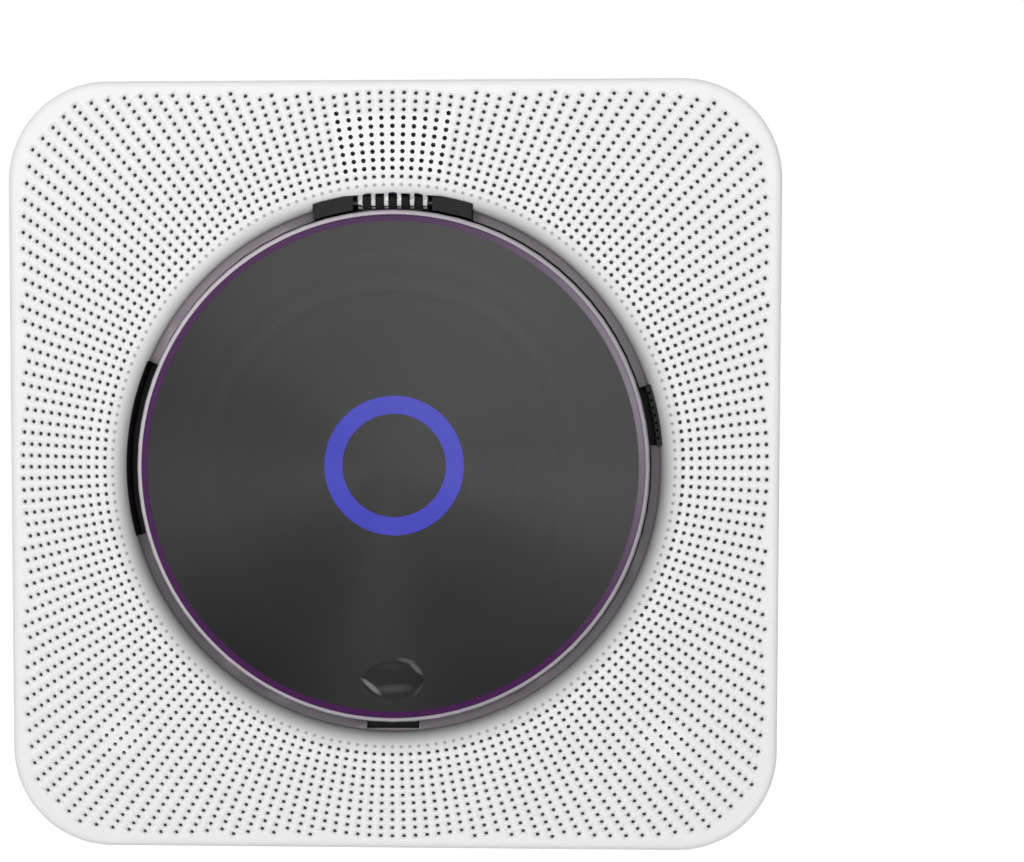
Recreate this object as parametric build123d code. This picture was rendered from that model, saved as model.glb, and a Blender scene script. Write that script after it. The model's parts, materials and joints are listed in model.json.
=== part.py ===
from build123d import *
import math
import os

# A wall hung compact disc player. A square moulded case with a radial perforated front carries a
# round disc well, closed by a smoked dust cover that is hinged at the top. Millimetres: X to the
# right, Y into the wall, Z up, origin on the wall behind the middle of the well. Every size whose
# name ends in _D is a distance off the wall, so it lies at y = -D.

# Case
CASE_SIDE = 189.0
CASE_CORNER_R = 24.5
CASE_FRONT_D = 42.0
CASE_EDGE_R = 2.0
WALL = 2.4
PANEL_T = 2.2
PANEL_RIM = 6.0
FRAME_LENGTH = 12.0
BACK_FACE_D = 2.6
BACK_INSET = 12.0
BACK_TAPER = 13.4
TONGUE = 1.6
SEAM_RIB = 120.0
SEAM_GAP = 0.1

# Disc well moulded into the front panel
WELL_R = 65.8
LIP_CURVE_R = 3.8
LEDGE_R = 63.8
LEDGE_DROP = 5.0
LEDGE_T = 1.6
LIP_WALL = 2.0
LIP_JOIN = 0.5
FINGER_SLOT_ANGLES = (156.6, 195.2)
VENT_ANGLES = (4.7, 17.9)
VENT_OUTER_R = 66.5
VENT_INNER_R = 65.0
VENT_DROP = 2.2
VENT_RIBS = 8
VENT_GROOVE = 0.7
VENT_MARGIN = 0.15
LATCH_NOTCH_HALF = 6.5
LATCH_NOTCH_SKIN = 0.4
LATCH_NOTCH_IN = 2.0

# Perforation of the front panel: holes on rays, at one pitch outwards
RAY_COUNT = 200
RING_PITCH = 2.028
HOLE_SIDE = 0.95
DISPLAY_WIDTH = 28.0
DISPLAY_LOW_GAP = 1.2
DISPLAY_TOP_GAP = 4.9

# Dust cover
COVER_R = 62.9
COVER_T = 2.0
COVER_PROUD = 1.0
COVER_EDGE_R = 1.5
SKIRT_T = 2.0
SKIRT_LENGTH = 5.4
SCOOP_LENGTH = 15.8
SCOOP_HEIGHT = 9.4
SCOOP_Z = -52.3
SCOOP_DEPTH = 1.3
SCOOP_TOP_DEPTH = 0.2

# Hinge at the top of the cover: five knuckles on the cover between six on the panel
HINGE_Z = 64.6
HINGE_DROP = 2.4
KNUCKLE_R = 1.8
PIN_R = 0.75
PIN_LENGTH = 27.0
KNUCKLE_PITCH = 3.16
KNUCKLE_LENGTH = 1.9
KNUCKLE_GAP = 0.13
COVER_KNUCKLES = 5
LEAF_LOW_Z = 56.0
LEAF_HALF = 8.9
LEAF_T = 2.1
LEAF_GAP = 0.2
HINGE_POCKET_HALF = 19.6
HINGE_POCKET_R = 67.4
HINGE_POCKET_GAP = 0.4
KNUCKLE_ROOT = 1.0
EAR_INNER_HALF = 9.7
RUNNING = 0.05
FIT_GAP = 0.3

# Disc deck, the black floor and wall of the well
WELL_DEPTH = 11.5
DECK_T = 2.0
DECK_WALL_R = 66.0
DECK_WALL_T = 1.8
DECK_HOLE_R = 9.0
DECK_EAR_R = 72.0
DECK_EAR_ANGLES = (62, 118, 242, 298)

# Light ring and its board
RING_OUTER_R = 17.5
RING_INNER_R = 13.0
RING_T = 1.3
LED_COUNT = 6
LED_SIDE = 2.0
LED_T = 0.8
RING_BOARD_INSET = 0.5
RING_BOARD_MARGIN = 1.0
BOARD_T = 1.2

# Turntable
PLATTER_R = 12.6
PLATTER_LIFT = 0.8
PLATTER_T = 1.9
MAT_INNER_R = 8.6
MAT_T = 0.5
HUB_R = 7.35
HUB_STRAIGHT = 2.6
HUB_HEIGHT = 3.6
HUB_SLEEVE_R = 4.5
HUB_SLEEVE_LENGTH = 5.0
SPINDLE_R = 1.0
SPINDLE_DROP = 1.4
SPINDLE_FOOT = 3.1
CLAW_COUNT = 3
CLAW_REACH = 7.7
CLAW_LENGTH = 3.6
CLAW_WIDTH = 2.0
CLAW_T = 1.1
CLAW_LIFT = 1.8
CLAW_NOSE = 0.3
CLAW_TRAVEL = 0.5
CLAW_GAP = 0.1
CLAW_SLOT_OUT = 0.7

# Player mechanism under the deck
CHASSIS_DROP = 4.0
CHASSIS_T = 1.2
CHASSIS_CORNER = 2.0
CHASSIS_OUTLINE = ((-23, -25), (64, -27), (70, -20), (70, 22), (57, 47), (22, 47), (-23, 40))
DAMPER_PLACES = ((-18, -20), (-18, 34), (52, 42), (60, -22))
DAMPER_R = 3.8
DAMPER_NECK_R = 2.4
DAMPER_POST_R = 1.6
DAMPER_LOWER = 1.5
SPINDLE_MOTOR_R = 12.2
MOTOR_ROOM = 1.9
MOTOR_EDGE = 1.0
MOTOR_BASE_T = 1.0
MOTOR_BOSS_R = 3.2
SLED_MOTOR_R = 8.0
SLED_SHAFT_R = 0.8
LENS_REST_X = 23.5
SLED_TRAVEL = 34.5
SLED_BACK = 9.0
SLED_AHEAD = 7.0
SLED_HALF_Z = 16.5
SLED_RISE = 1.7
SLED_CLEAR = 0.5
SLED_DEPTH = 5.8
SLED_ARM_INSET = (2.0, 1.0)
SLED_ARM_LOW_Z = -9.0
SLOT_END_GAP = 1.0
SLOT_HALF_Z = 18.6
ROD_R = 1.5
ROD_Z = 14.0
ROD_DROP = 3.8
ROD_TAB_T = 2.5
ROD_TAB_WALL = 0.8
LENS_R = 2.2
LENS_T = 0.9
LENS_HOLDER_LENGTH = 11.0
LENS_HOLDER_WIDTH = 7.2
LENS_HOLDER_T = 3.4
LENS_HOLDER_CORNER = 1.8
LENS_LIFT = 0.8
LENS_PIN_R = 0.8
LENS_PIN_Z = -4.6
LENS_HOLDER_Z = -2.0
LENS_SLOT_SIDE = 1.5

# Sled gearing
MODULE = 0.8
ADDENDUM = 0.68
DEDENDUM = 0.92
BACKLASH = 0.24
PRESSURE_ANGLE = 20.0
RACK_TEETH = 15
RACK_Z = 21.0
RACK_BAR = 2.1
PINION_TEETH = 12
DRIVE_TEETH = 24
MOTOR_TEETH = 10
GEAR_X = 40.0
MOTOR_DIRECTION = 135.0
GEAR_T = 1.4
GEAR_GAP = 0.2
GEAR_LIFT = 0.4
GEAR_POST_R = 1.2

# Touch latch and lid switch, both pressed by the cover's skirt
LATCH_BODY_GAP = 1.4
LATCH_BODY_HALF_X = 6.2
LATCH_BODY_INNER_R = 60.4
PLUNGER_HALF_X = 3.0
PLUNGER_T = 1.5
PLUNGER_FLANGE = 1.0
PRESS_GAP = 0.1
KEEPER_T = 1.0
KEEPER_MARGIN = 1.0
SWITCH_ANGLE = 300.0
SWITCH_PIN_R = 0.9
SWITCH_BODY = (7.0, 5.0, 6.0)
SWITCH_BASE_T = 1.0
SWITCH_SPRING = 1.4
SWITCH_BOSS_R = 2.2
SWITCH_BOSS_H = 3.0

# Speakers
SPEAKER_WALL_GAP = 3.6
SPEAKER_WELL_GAP = 5.46
SPEAKER_OPENING_R = 5.5
SPEAKER_FLANGE_W = 5.3
SPEAKER_FLANGE_T = 1.5
SPEAKER_GASKET_T = 2.0
SPEAKER_BASKET_H = 8.0
SPEAKER_BOWL_W = 5.2
SPEAKER_MAGNET_H = 7.5
SPEAKER_EAR_PROUD = 1.0
SPEAKER_SIDES = 12
BOWL_RIM = 1.5
BASKET_T = 1.2
GASKET_GAP = 0.3
GASKET_W = 1.4
CONE_T = 0.6
CONE_RIM = 1.8
CONE_GAP = 1.0
CONE_LIFT = 2.0
DUST_CAP_R = 5.0
DUST_CAP_H = 2.0

# Fasteners
SIDE_SCREW_INSET = 18.5
SIDE_SCREW_Z = 34.0
LOW_SCREW_INSET = 14.5
LOW_SCREW_X = 26.0
CASE_SCREW_R = 1.4
CASE_SCREW_BITE = 10.0
CASE_HEAD_R = 2.7
CASE_HEAD_H = 2.2
CASE_SEAT_D = 14.0
CASE_BOSS_R = 3.2
CASE_SOCKET_WALL = 1.4
SCREW_R = 0.9
SCREW_LENGTH = 4.0
SCREW_HEAD_R = 2.2
SCREW_HEAD_H = 1.0
SCREW_BOSS_R = 2.6
HEAD_GAP = 0.3
SHAFT_GAP = 0.3

# How many flats the rounds have, and how a front edge is rounded over in two flats
EDGE_FLAT_DEPTH = 0.414
POST_SIDES = 6
HOLE_SIDES = 4
BARREL_SIDES = 8
BORE_SIDES = 8
NOSE_SIDES = 12
CORNER_FLATS = 8
ROUND_SIDES = 72
DECK_SIDES = 48
RING_SIDES = 24
PLATTER_SIDES = 20
CAN_SIDES = 12
FOOT_SIDES = 8

# Wall bracket and what it hooks into
BRACKET_WIDTH = 80.0
BRACKET_HEIGHT = 52.0
BRACKET_T = 2.0
BRACKET_HOLE_R = 2.25
BRACKET_HOLE_X = 44.0
BRACKET_HOLE_Z = 34.0
HOOK_X = 32.0
HOOK_WIDTH = 10.0
HOOK_Z = 16.0
HOOK_RISE = 7.0
HOOK_T = 1.6
RECESS_MARGIN = 4.0
RECESS_FLOOR_D = 8.0
FOOT_R = 5.0
FOOT_INSET = 26.5
FOOT_SINK = 0.6
BACK_VENTS = 6
BACK_VENT_LENGTH = 24.0
BACK_VENT_WIDTH = 2.0
BACK_VENT_PITCH = 5.0
BACK_VENT_INSET = 36.5

# Boards, display, buttons and sockets
DISPLAY_BOARD_X = (-21.0, 31.0)
DISPLAY_BOARD_LOW = 1.8
DISPLAY_BOARD_TOP = 2.3
DISPLAY_BOARD_DROP = 6.6
DISPLAY_GAP = 0.2
DISPLAY_CASE_MARGIN = 1.0
DISPLAY_SCREWS_X = (-18.5, 27.5)
RECEIVER_X = 20.5
RECEIVER_SIDE = 6.0
RECEIVER_R = 2.4
RECEIVER_BODY_T = 2.4
MAIN_BOARD_INSET = 26.5
MAIN_BOARD_END_X = -24.0
MAIN_BOARD_Z = (-36.0, 56.0)
MAIN_BOARD_D = 14.0
BOARD_SCREW_INSET = 4.0
CHIP_Z = 7.0
CHIP_SIDE = 14.0
CHIP_T = 1.6
AMPLIFIER_Z = -19.0
AMPLIFIER_SIZE = (8.0, 6.0)
PLUG_INSET = 5.5
PLUG_SIZE = (5.0, 24.0)
PLUG_T = 5.0
CAPACITOR_INSET = 9.0
CAPACITOR_R = 3.2
CAPACITOR_H = 8.0
CAPACITOR_ZS = (26.0, 36.0)
KEY_BOARD_HALF = 36.0
KEY_BOARD_INSET = 10.5
KEY_BOARD_WIDTH = 7.0
KEY_BRACKET_GAP = 0.2
KEY_BRACKET_T = 2.0
KEY_BRACKET_FOOT = 2.5
KEY_RISE = 4.5
KEY_PITCH = 14.0
KEY_LENGTH = 9.0
KEY_WIDTH = 4.0
KEY_PROUD = 0.8
KEY_FLANGE = 1.0
KEY_TRAVEL = 0.5
KEY_GAP = 0.15
KEY_CORNER = 0.8
KEY_EDGE = 0.3
KEY_STEM = 2.4
TACT_SIDE = 4.4
TACT_H = 3.0
BUTTON_NAMES = ("volume_down", "previous", "play", "next", "volume_up")
SOCKET_BOARD_WELL_GAP = 2.7
SOCKET_BOARD_INSET = 3.0
SOCKET_BOARD_Z = (-28.0, 23.0)
SOCKET_BOARD_DROP = 4.6
SOCKET_SCREWS_Z = (-24.0, 20.0)
SOCKET_SCREW_INSET = 3.5
JACK_SIDE = 6.0
JACK_LENGTH = 11.4
JACK_BASE_T = 1.0
JACK_BORE_R = 1.8
JACK_NOSE_R = 2.9
JACK_ZS = (8.5, 1.0)
USB_Z = -9.0
USB_WIDTH = 13.2
USB_HEIGHT = 5.8
USB_LENGTH = 14.0
USB_SKIN = 0.4
USB_BASE_T = 2.0
USB_TONGUE_BACK = 1.5
USB_TONGUE_GAP = 0.7
INLET_Z = -20.6
INLET_WIDTH = 9.0
INLET_HEIGHT = 3.3
INLET_LENGTH = 8.0
INLET_CORNER = 1.0
INLET_SKIN = 0.4
INLET_BASE_T = 1.5
INLET_FOOT = 6.0
POWER_Z = 17.0
POWER_LENGTH = 9.0
POWER_TRAVEL = 2.5
POWER_BODY_W = 6.5
POWER_BODY_DROP = 2.6
POWER_SLOT_DEPTH = 3.0
POWER_KNOB = 3.0
POWER_KNOB_T = 2.0
POWER_KNOB_PROUD = 1.4
SOCKET_FLUSH = 0.2

# Worked out from the sizes above
HALF_SIDE = CASE_SIDE / 2
PANEL_BACK_D = CASE_FRONT_D - PANEL_T
RIM_BACK_D = CASE_FRONT_D - PANEL_RIM
PARTING_D = RIM_BACK_D - FRAME_LENGTH
TAPER_END_D = BACK_FACE_D + BACK_TAPER
INNER_HALF = HALF_SIDE - WALL
LEDGE_D = CASE_FRONT_D - LEDGE_DROP
LEDGE_BACK_D = LEDGE_D - LEDGE_T
LIP_OUTER_R = WELL_R + LIP_WALL
FLAT_R = WELL_R + LIP_CURVE_R
VENT_TOP_D = CASE_FRONT_D - VENT_DROP
HINGE_D = CASE_FRONT_D - HINGE_DROP
DISPLAY_HEIGHT = INNER_HALF - FLAT_R - DISPLAY_LOW_GAP - DISPLAY_TOP_GAP - 2 * DISPLAY_CASE_MARGIN
DISPLAY_Z = FLAT_R + DISPLAY_LOW_GAP + DISPLAY_CASE_MARGIN + DISPLAY_HEIGHT / 2
COVER_FRONT_D = CASE_FRONT_D + COVER_PROUD
COVER_BACK_D = COVER_FRONT_D - COVER_T
SKIRT_END_D = COVER_BACK_D - SKIRT_LENGTH
SKIRT_MID_R = COVER_R - SKIRT_T / 2
PLUNGER_TIP_D = SKIRT_END_D - PRESS_GAP
LATCH_BODY_TOP_D = SKIRT_END_D - LATCH_BODY_GAP
DECK_FLOOR_D = CASE_FRONT_D - WELL_DEPTH
DECK_BACK_D = DECK_FLOOR_D - DECK_T
PLATTER_BACK_D = DECK_FLOOR_D + PLATTER_LIFT
PLATTER_D = PLATTER_BACK_D + PLATTER_T
CHASSIS_D = DECK_BACK_D - CHASSIS_DROP
CHASSIS_BACK_D = CHASSIS_D - CHASSIS_T
MOTOR_BACK_D = RECESS_FLOOR_D + WALL + MOTOR_ROOM
HUB_TOP_D = PLATTER_D + HUB_HEIGHT
SPINDLE_TOP_D = HUB_TOP_D - SPINDLE_DROP
SLED_TOP_D = CHASSIS_D + SLED_RISE
SLED_SHOULDER_D = CHASSIS_BACK_D - SLED_CLEAR
SLED_BOTTOM_D = SLED_SHOULDER_D - SLED_DEPTH
ROD_D = CHASSIS_BACK_D - ROD_DROP
RACK_ROOT_Z = RACK_Z - DEDENDUM
GEAR_Z = RACK_Z + MODULE * PINION_TEETH / 2
GEAR_BACK_D = CHASSIS_D + GEAR_LIFT
DRIVE_BACK_D = GEAR_BACK_D + GEAR_T + GEAR_GAP
GEAR_CENTRES = MODULE * (DRIVE_TEETH + MOTOR_TEETH) / 2
MOTOR_X = GEAR_X + GEAR_CENTRES * math.cos(math.radians(MOTOR_DIRECTION))
MOTOR_Z = GEAR_Z + GEAR_CENTRES * math.sin(math.radians(MOTOR_DIRECTION))
LENS_HOLDER_BACK_D = SLED_TOP_D + LENS_LIFT
LENS_HOLDER_FRONT_D = LENS_HOLDER_BACK_D + LENS_HOLDER_T
SLOT_START_X = LENS_REST_X - SLED_BACK - SLOT_END_GAP
SLOT_END_X = LENS_REST_X + SLED_TRAVEL + SLED_AHEAD + SLOT_END_GAP
SPEAKER_ROOM = math.sqrt(2) * (INNER_HALF - SPEAKER_WALL_GAP) - LIP_OUTER_R - SPEAKER_WELL_GAP
SPEAKER_FLANGE_R = SPEAKER_ROOM / (1 + math.sqrt(2))
SPEAKER_PLACE = INNER_HALF - SPEAKER_WALL_GAP - SPEAKER_FLANGE_R
SPEAKER_CONE_R = SPEAKER_FLANGE_R - SPEAKER_FLANGE_W
SPEAKER_MAGNET_R = SPEAKER_CONE_R - SPEAKER_BOWL_W
SPEAKER_EAR_R = SPEAKER_FLANGE_R + SPEAKER_EAR_PROUD
GASKET_BACK_D = PANEL_BACK_D - SPEAKER_GASKET_T
FLANGE_BACK_D = GASKET_BACK_D - SPEAKER_FLANGE_T
DISPLAY_BOARD_D = PANEL_BACK_D - DISPLAY_BOARD_DROP
DISPLAY_BOARD_FRONT_D = DISPLAY_BOARD_D + BOARD_T
SOCKET_BOARD_D = RIM_BACK_D - SOCKET_BOARD_DROP
SOCKET_BOARD_FRONT_D = SOCKET_BOARD_D + BOARD_T
SOCKET_BOARD_X = (LIP_OUTER_R + SOCKET_BOARD_WELL_GAP, HALF_SIDE - SOCKET_BOARD_INSET)
SOCKET_SCREW_X = SOCKET_BOARD_X[0] + SOCKET_SCREW_INSET
SOCKET_D = SOCKET_BOARD_D - JACK_SIDE / 2
RECESS_WIDTH = BRACKET_WIDTH + 2 * RECESS_MARGIN
RECESS_HEIGHT = BRACKET_HEIGHT + 2 * RECESS_MARGIN
WALL_IN_D = BACK_FACE_D + WALL
CASE_SCREW_LENGTH = PARTING_D - CASE_SEAT_D + CASE_SCREW_BITE
FOOT_PLACE = HALF_SIDE - FOOT_INSET
BACK_VENT_Z = HALF_SIDE - BACK_VENT_INSET
KEY_BOARD_Z = HALF_SIDE - KEY_BOARD_INSET
KEY_D = PARTING_D + KEY_RISE
MAIN_BOARD_X = (MAIN_BOARD_INSET - HALF_SIDE, MAIN_BOARD_END_X)


# ---- Building blocks -------------------------------------------------------------------------


def layer(sketch, back, front):
    """A slab of a front view sketch between two distances off the wall."""
    return extrude(Plane.XZ.offset(back) * sketch, front - back)


def pillar(x, z, radius, back, front):
    """A round bar that stands off the wall."""
    return layer(Pos(x, z) * Circle(radius), back, front)


def post(x, z, radius, back, front, sides=POST_SIDES):
    """A many sided bar that stands off the wall, its corners on the radius."""
    return layer(Pos(x, z) * RegularPolygon(radius, sides), back, front)


def drilled(x, z, radius, back, front, sides=HOLE_SIDES):
    """A many sided hole off the wall, its flats on the radius."""
    return layer(Pos(x, z) * RegularPolygon(radius, sides, major_radius=False), back, front)


def block(x_span, z_span, d_span):
    """A square block between two limits on each axis, the last one off the wall."""
    x_mid = sum(x_span) / 2
    z_mid = sum(z_span) / 2
    return layer(Pos(x_mid, z_mid) * Rectangle(x_span[1] - x_span[0], z_span[1] - z_span[0]), *d_span)


def turned(points):
    """A ring turned in flats about the disc axis from (radius, distance off the wall) points."""
    rows = []
    for i in range(ROUND_SIDES):
        x, z = polar(1, 360 * i / ROUND_SIDES)
        rows.append([(r * x, -d, r * z) for r, d in points])
    faces = []
    for i, row in enumerate(rows):
        for j in range(len(points)):
            corners = [row[j - 1], row[j], rows[i - 1][j], rows[i - 1][j - 1]]
            faces.append(Face(Wire.make_polygon(corners)))
    return Part() + Solid(Shell(faces))


def round_over(centre_r, centre_d, radius, start, end, steps=2):
    """Points on an arc of a turned profile, its angle counted from outwards towards the front."""
    turns = [math.radians(start + (end - start) * i / steps) for i in range(steps + 1)]
    return [(centre_r + radius * math.cos(t), centre_d + radius * math.sin(t)) for t in turns]


def cut_corners(width, height, cut):
    """A rectangle with its corners cut."""
    return chamfer(Rectangle(width, height).vertices(), cut)


def disc(radius, back, front):
    """A flat disc about the disc axis."""
    return layer(Circle(radius), back, front)


def polar(radius, angle):
    """X and Z of a point, with the angle counted from +X towards +Z."""
    return radius * math.cos(math.radians(angle)), radius * math.sin(math.radians(angle))


def sector(inner, outer, angles, back, front):
    """The stretch of a flat ring between two angles."""
    start, end = angles
    middle = (start + end) / 2
    corners = [(0, 0), *(polar(2 * outer, angle) for angle in (start, middle, end))]
    wedge = make_face(Polyline(*corners, close=True))
    flat_ring = RegularPolygon(outer, ROUND_SIDES) - RegularPolygon(inner, ROUND_SIDES)
    return layer(wedge & flat_ring, back, front)


def turn_to(angle, shape):
    """Turns a shape about the disc axis, from +X towards +Z."""
    return Rotation(0, -angle, 0) * shape


def outline_points(inset):
    """Corners of the case outline, drawn in by an inset all round, its round corners in short flats."""
    reach = HALF_SIDE - CASE_CORNER_R
    centres = ((reach, reach), (-reach, reach), (-reach, -reach), (reach, -reach))
    points = []
    for quarter, (x, z) in enumerate(centres):
        for i in range(CORNER_FLATS + 1):
            out_x, out_z = polar(CASE_CORNER_R - inset, 90 * (quarter + i / CORNER_FLATS))
            points.append((x + out_x, z + out_z))
    return points


def rounded_square(inset):
    """The case outline as a flat shape."""
    return make_face(Polyline(*outline_points(inset), close=True))


def sloping_block(back_inset, back, front_inset, front):
    """A block of the case outline whose sides slope from one inset at the back to another in front."""
    low = [(x, -back, z) for x, z in outline_points(back_inset)]
    high = [(x, -front, z) for x, z in outline_points(front_inset)]
    sides = [(low[i - 1], low[i], high[i], high[i - 1]) for i in range(len(low))]
    faces = [Face(Wire.make_polygon(corners)) for corners in [low, high, *sides]]
    return Part() + Solid(Shell(faces))


def front_rounded(solid, radius):
    """A prism with its front edge rounded over in two flats."""
    face = solid.faces().sort_by(Axis.Y)[0]
    low = radius * EDGE_FLAT_DEPTH
    shallow = chamfer(face.edges(), radius, low, reference=face)
    steep = chamfer(face.edges(), low, radius, reference=face)
    return shallow & steep


def rod_along_x(x_span, z, depth, radius):
    """A round bar along X."""
    place = Plane(origin=(x_span[0], -depth, z), z_dir=(1, 0, 0))
    return extrude(place * Circle(radius), x_span[1] - x_span[0])


def barrel_along_x(x_span, z, depth, radius, sides=BARREL_SIDES):
    """A many sided bar along X, its corners on the radius."""
    place = Plane(origin=(x_span[0], -depth, z), z_dir=(1, 0, 0))
    return extrude(place * RegularPolygon(radius, sides), x_span[1] - x_span[0])


def bore_along_x(x_span, z, depth, radius, sides=BORE_SIDES):
    """A many sided bore along X, its flats on the radius."""
    place = Plane(origin=(x_span[0], -depth, z), z_dir=(1, 0, 0))
    return extrude(place * RegularPolygon(radius, sides, major_radius=False), x_span[1] - x_span[0])


def hoop(inner, outer, back, front, sides):
    """A many sided flat ring about the disc axis."""
    hole = RegularPolygon(inner, sides, major_radius=False)
    return layer(RegularPolygon(outer, sides) - hole, back, front)


def screw(x, z, seat, outward, radius, length, head_r, head_h):
    """A pan head screw whose head sits at `seat`. outward is +1 when the head is on the front side."""
    head_span = sorted((seat, seat + outward * head_h))
    shaft_span = sorted((seat, seat - outward * length))
    return post(x, z, head_r, *head_span) + post(x, z, radius, *shaft_span, sides=HOLE_SIDES)


def small_screw(x, z, seat, outward):
    """The short screw that every board, speaker, damper and the deck use."""
    return screw(x, z, seat, outward, SCREW_R, SCREW_LENGTH, SCREW_HEAD_R, SCREW_HEAD_H)


def pilot(x, z, seat, outward):
    """The hole for a small screw, from its seat and a little past its tip."""
    span = sorted((seat, seat - outward * (SCREW_LENGTH + SHAFT_GAP)))
    return drilled(x, z, SCREW_R + RUNNING, *span)


# ---- Case ------------------------------------------------------------------------------------


def seam_ribs(back, front, gap=0):
    """Locating ribs in the inner half of each straight wall; with a gap, the rebates that they enter."""
    across = (INNER_HALF - gap, INNER_HALF + WALL / 2 - SEAM_GAP + gap)
    along = (-SEAM_RIB / 2 - gap, SEAM_RIB / 2 + gap)
    return [turn_to(angle, block(across, along, (back, front))) for angle in (0, 90, 180, 270)]


def perforation_places():
    """Holes of the radial lattice that are open: those before a speaker or the display."""
    places = []
    for ray in range(RAY_COUNT):
        angle = ray * 360 / RAY_COUNT
        for step in range(round(math.sqrt(2) * HALF_SIDE / RING_PITCH)):
            x, z = polar(step * RING_PITCH, angle)
            near_speaker = math.hypot(abs(x) - SPEAKER_PLACE, z + SPEAKER_PLACE) < SPEAKER_OPENING_R
            on_display = abs(x) < DISPLAY_WIDTH / 2 and abs(z - DISPLAY_Z) < DISPLAY_HEIGHT / 2
            if near_speaker or on_display:
                places.append((x, z, angle))
    return places


def perforation():
    """The open holes, square to their rays, as one set of cutting tools."""
    drill = Box(HOLE_SIDE, HOLE_SIDE, 2 * PANEL_T)
    face = Plane.XZ.offset(CASE_FRONT_D - PANEL_T / 2)
    return [face * Pos(x, z, 0) * Rot(0, 0, angle) * drill for x, z, angle in perforation_places()]


def speaker_ears():
    """Centres of the two ears of each speaker, to the sides of the case's corner."""
    reach = SPEAKER_EAR_R / math.sqrt(2)
    return [
        (side * (SPEAKER_PLACE + turn * reach), -SPEAKER_PLACE + turn * reach)
        for side in (-1, 1)
        for turn in (-1, 1)
    ]


def case_screw_places():
    """Centres of the long screws: two in each side and two along the bottom."""
    side = HALF_SIDE - SIDE_SCREW_INSET
    low = LOW_SCREW_INSET - HALF_SIDE
    sides = [(x, z) for x in (-side, side) for z in (-SIDE_SCREW_Z, SIDE_SCREW_Z)]
    return sides + [(-LOW_SCREW_X, low), (LOW_SCREW_X, low)]


def panel_bosses():
    """Seats on the back of the panel as (x, z, seat distance, the plane its screw head pulls on)."""
    deck = [(*polar(DECK_EAR_R, a), LEDGE_BACK_D, LEDGE_BACK_D - DECK_WALL_T) for a in DECK_EAR_ANGLES]
    display = [(x, DISPLAY_Z, DISPLAY_BOARD_FRONT_D, DISPLAY_BOARD_D) for x in DISPLAY_SCREWS_X]
    sockets = [(SOCKET_SCREW_X, z, SOCKET_BOARD_FRONT_D, SOCKET_BOARD_D) for z in SOCKET_SCREWS_Z]
    speakers = [(x, z, GASKET_BACK_D, FLANGE_BACK_D) for x, z in speaker_ears()]
    return deck + display + sockets + speakers


def well_lip():
    """The turned part of the panel: it curves in from the flat face and ends in a ledge."""
    curve = round_over(FLAT_R, CASE_FRONT_D - LIP_CURVE_R, LIP_CURVE_R, 90, 180)
    ledge = [(WELL_R, LEDGE_D), (LEDGE_R, LEDGE_D), (LEDGE_R, LEDGE_BACK_D), (LIP_OUTER_R, LEDGE_BACK_D)]
    join_r = FLAT_R + 2 * LIP_JOIN
    join = [(LIP_OUTER_R, PANEL_BACK_D), (join_r, PANEL_BACK_D), (join_r, CASE_FRONT_D)]
    return turned(curve + ledge + join)


def hinge_pocket(margin):
    """The gap at the top of the well that holds the hinge; a margin makes it smaller."""
    arc = RegularPolygon(HINGE_POCKET_R - margin, ROUND_SIDES)
    arc -= RegularPolygon(COVER_R + HINGE_POCKET_GAP + margin, ROUND_SIDES)
    top = Pos(0, HINGE_POCKET_R) * Rectangle(2 * (HINGE_POCKET_HALF - margin), 2 * HINGE_POCKET_R)
    return arc & top


def panel_knuckle_xs():
    """Centres of the panel's knuckles, in the gaps beside the cover's."""
    count = COVER_KNUCKLES + 1
    return [(i - (count - 1) / 2) * KNUCKLE_PITCH for i in range(count)]


def panel_knuckles():
    """The panel's half of the comb hinge: barrels on short webs from the pocket wall."""
    half = (KNUCKLE_PITCH - KNUCKLE_LENGTH) / 2 - KNUCKLE_GAP
    parts = []
    for x in panel_knuckle_xs():
        span = (x - half, x + half)
        barrel = barrel_along_x(span, HINGE_Z, HINGE_D, KNUCKLE_R)
        web_d = (HINGE_D - KNUCKLE_R, HINGE_D + KNUCKLE_R / 2)
        parts.append(barrel + block(span, (HINGE_Z, HINGE_POCKET_R + KNUCKLE_ROOT), web_d))
    return parts


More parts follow.
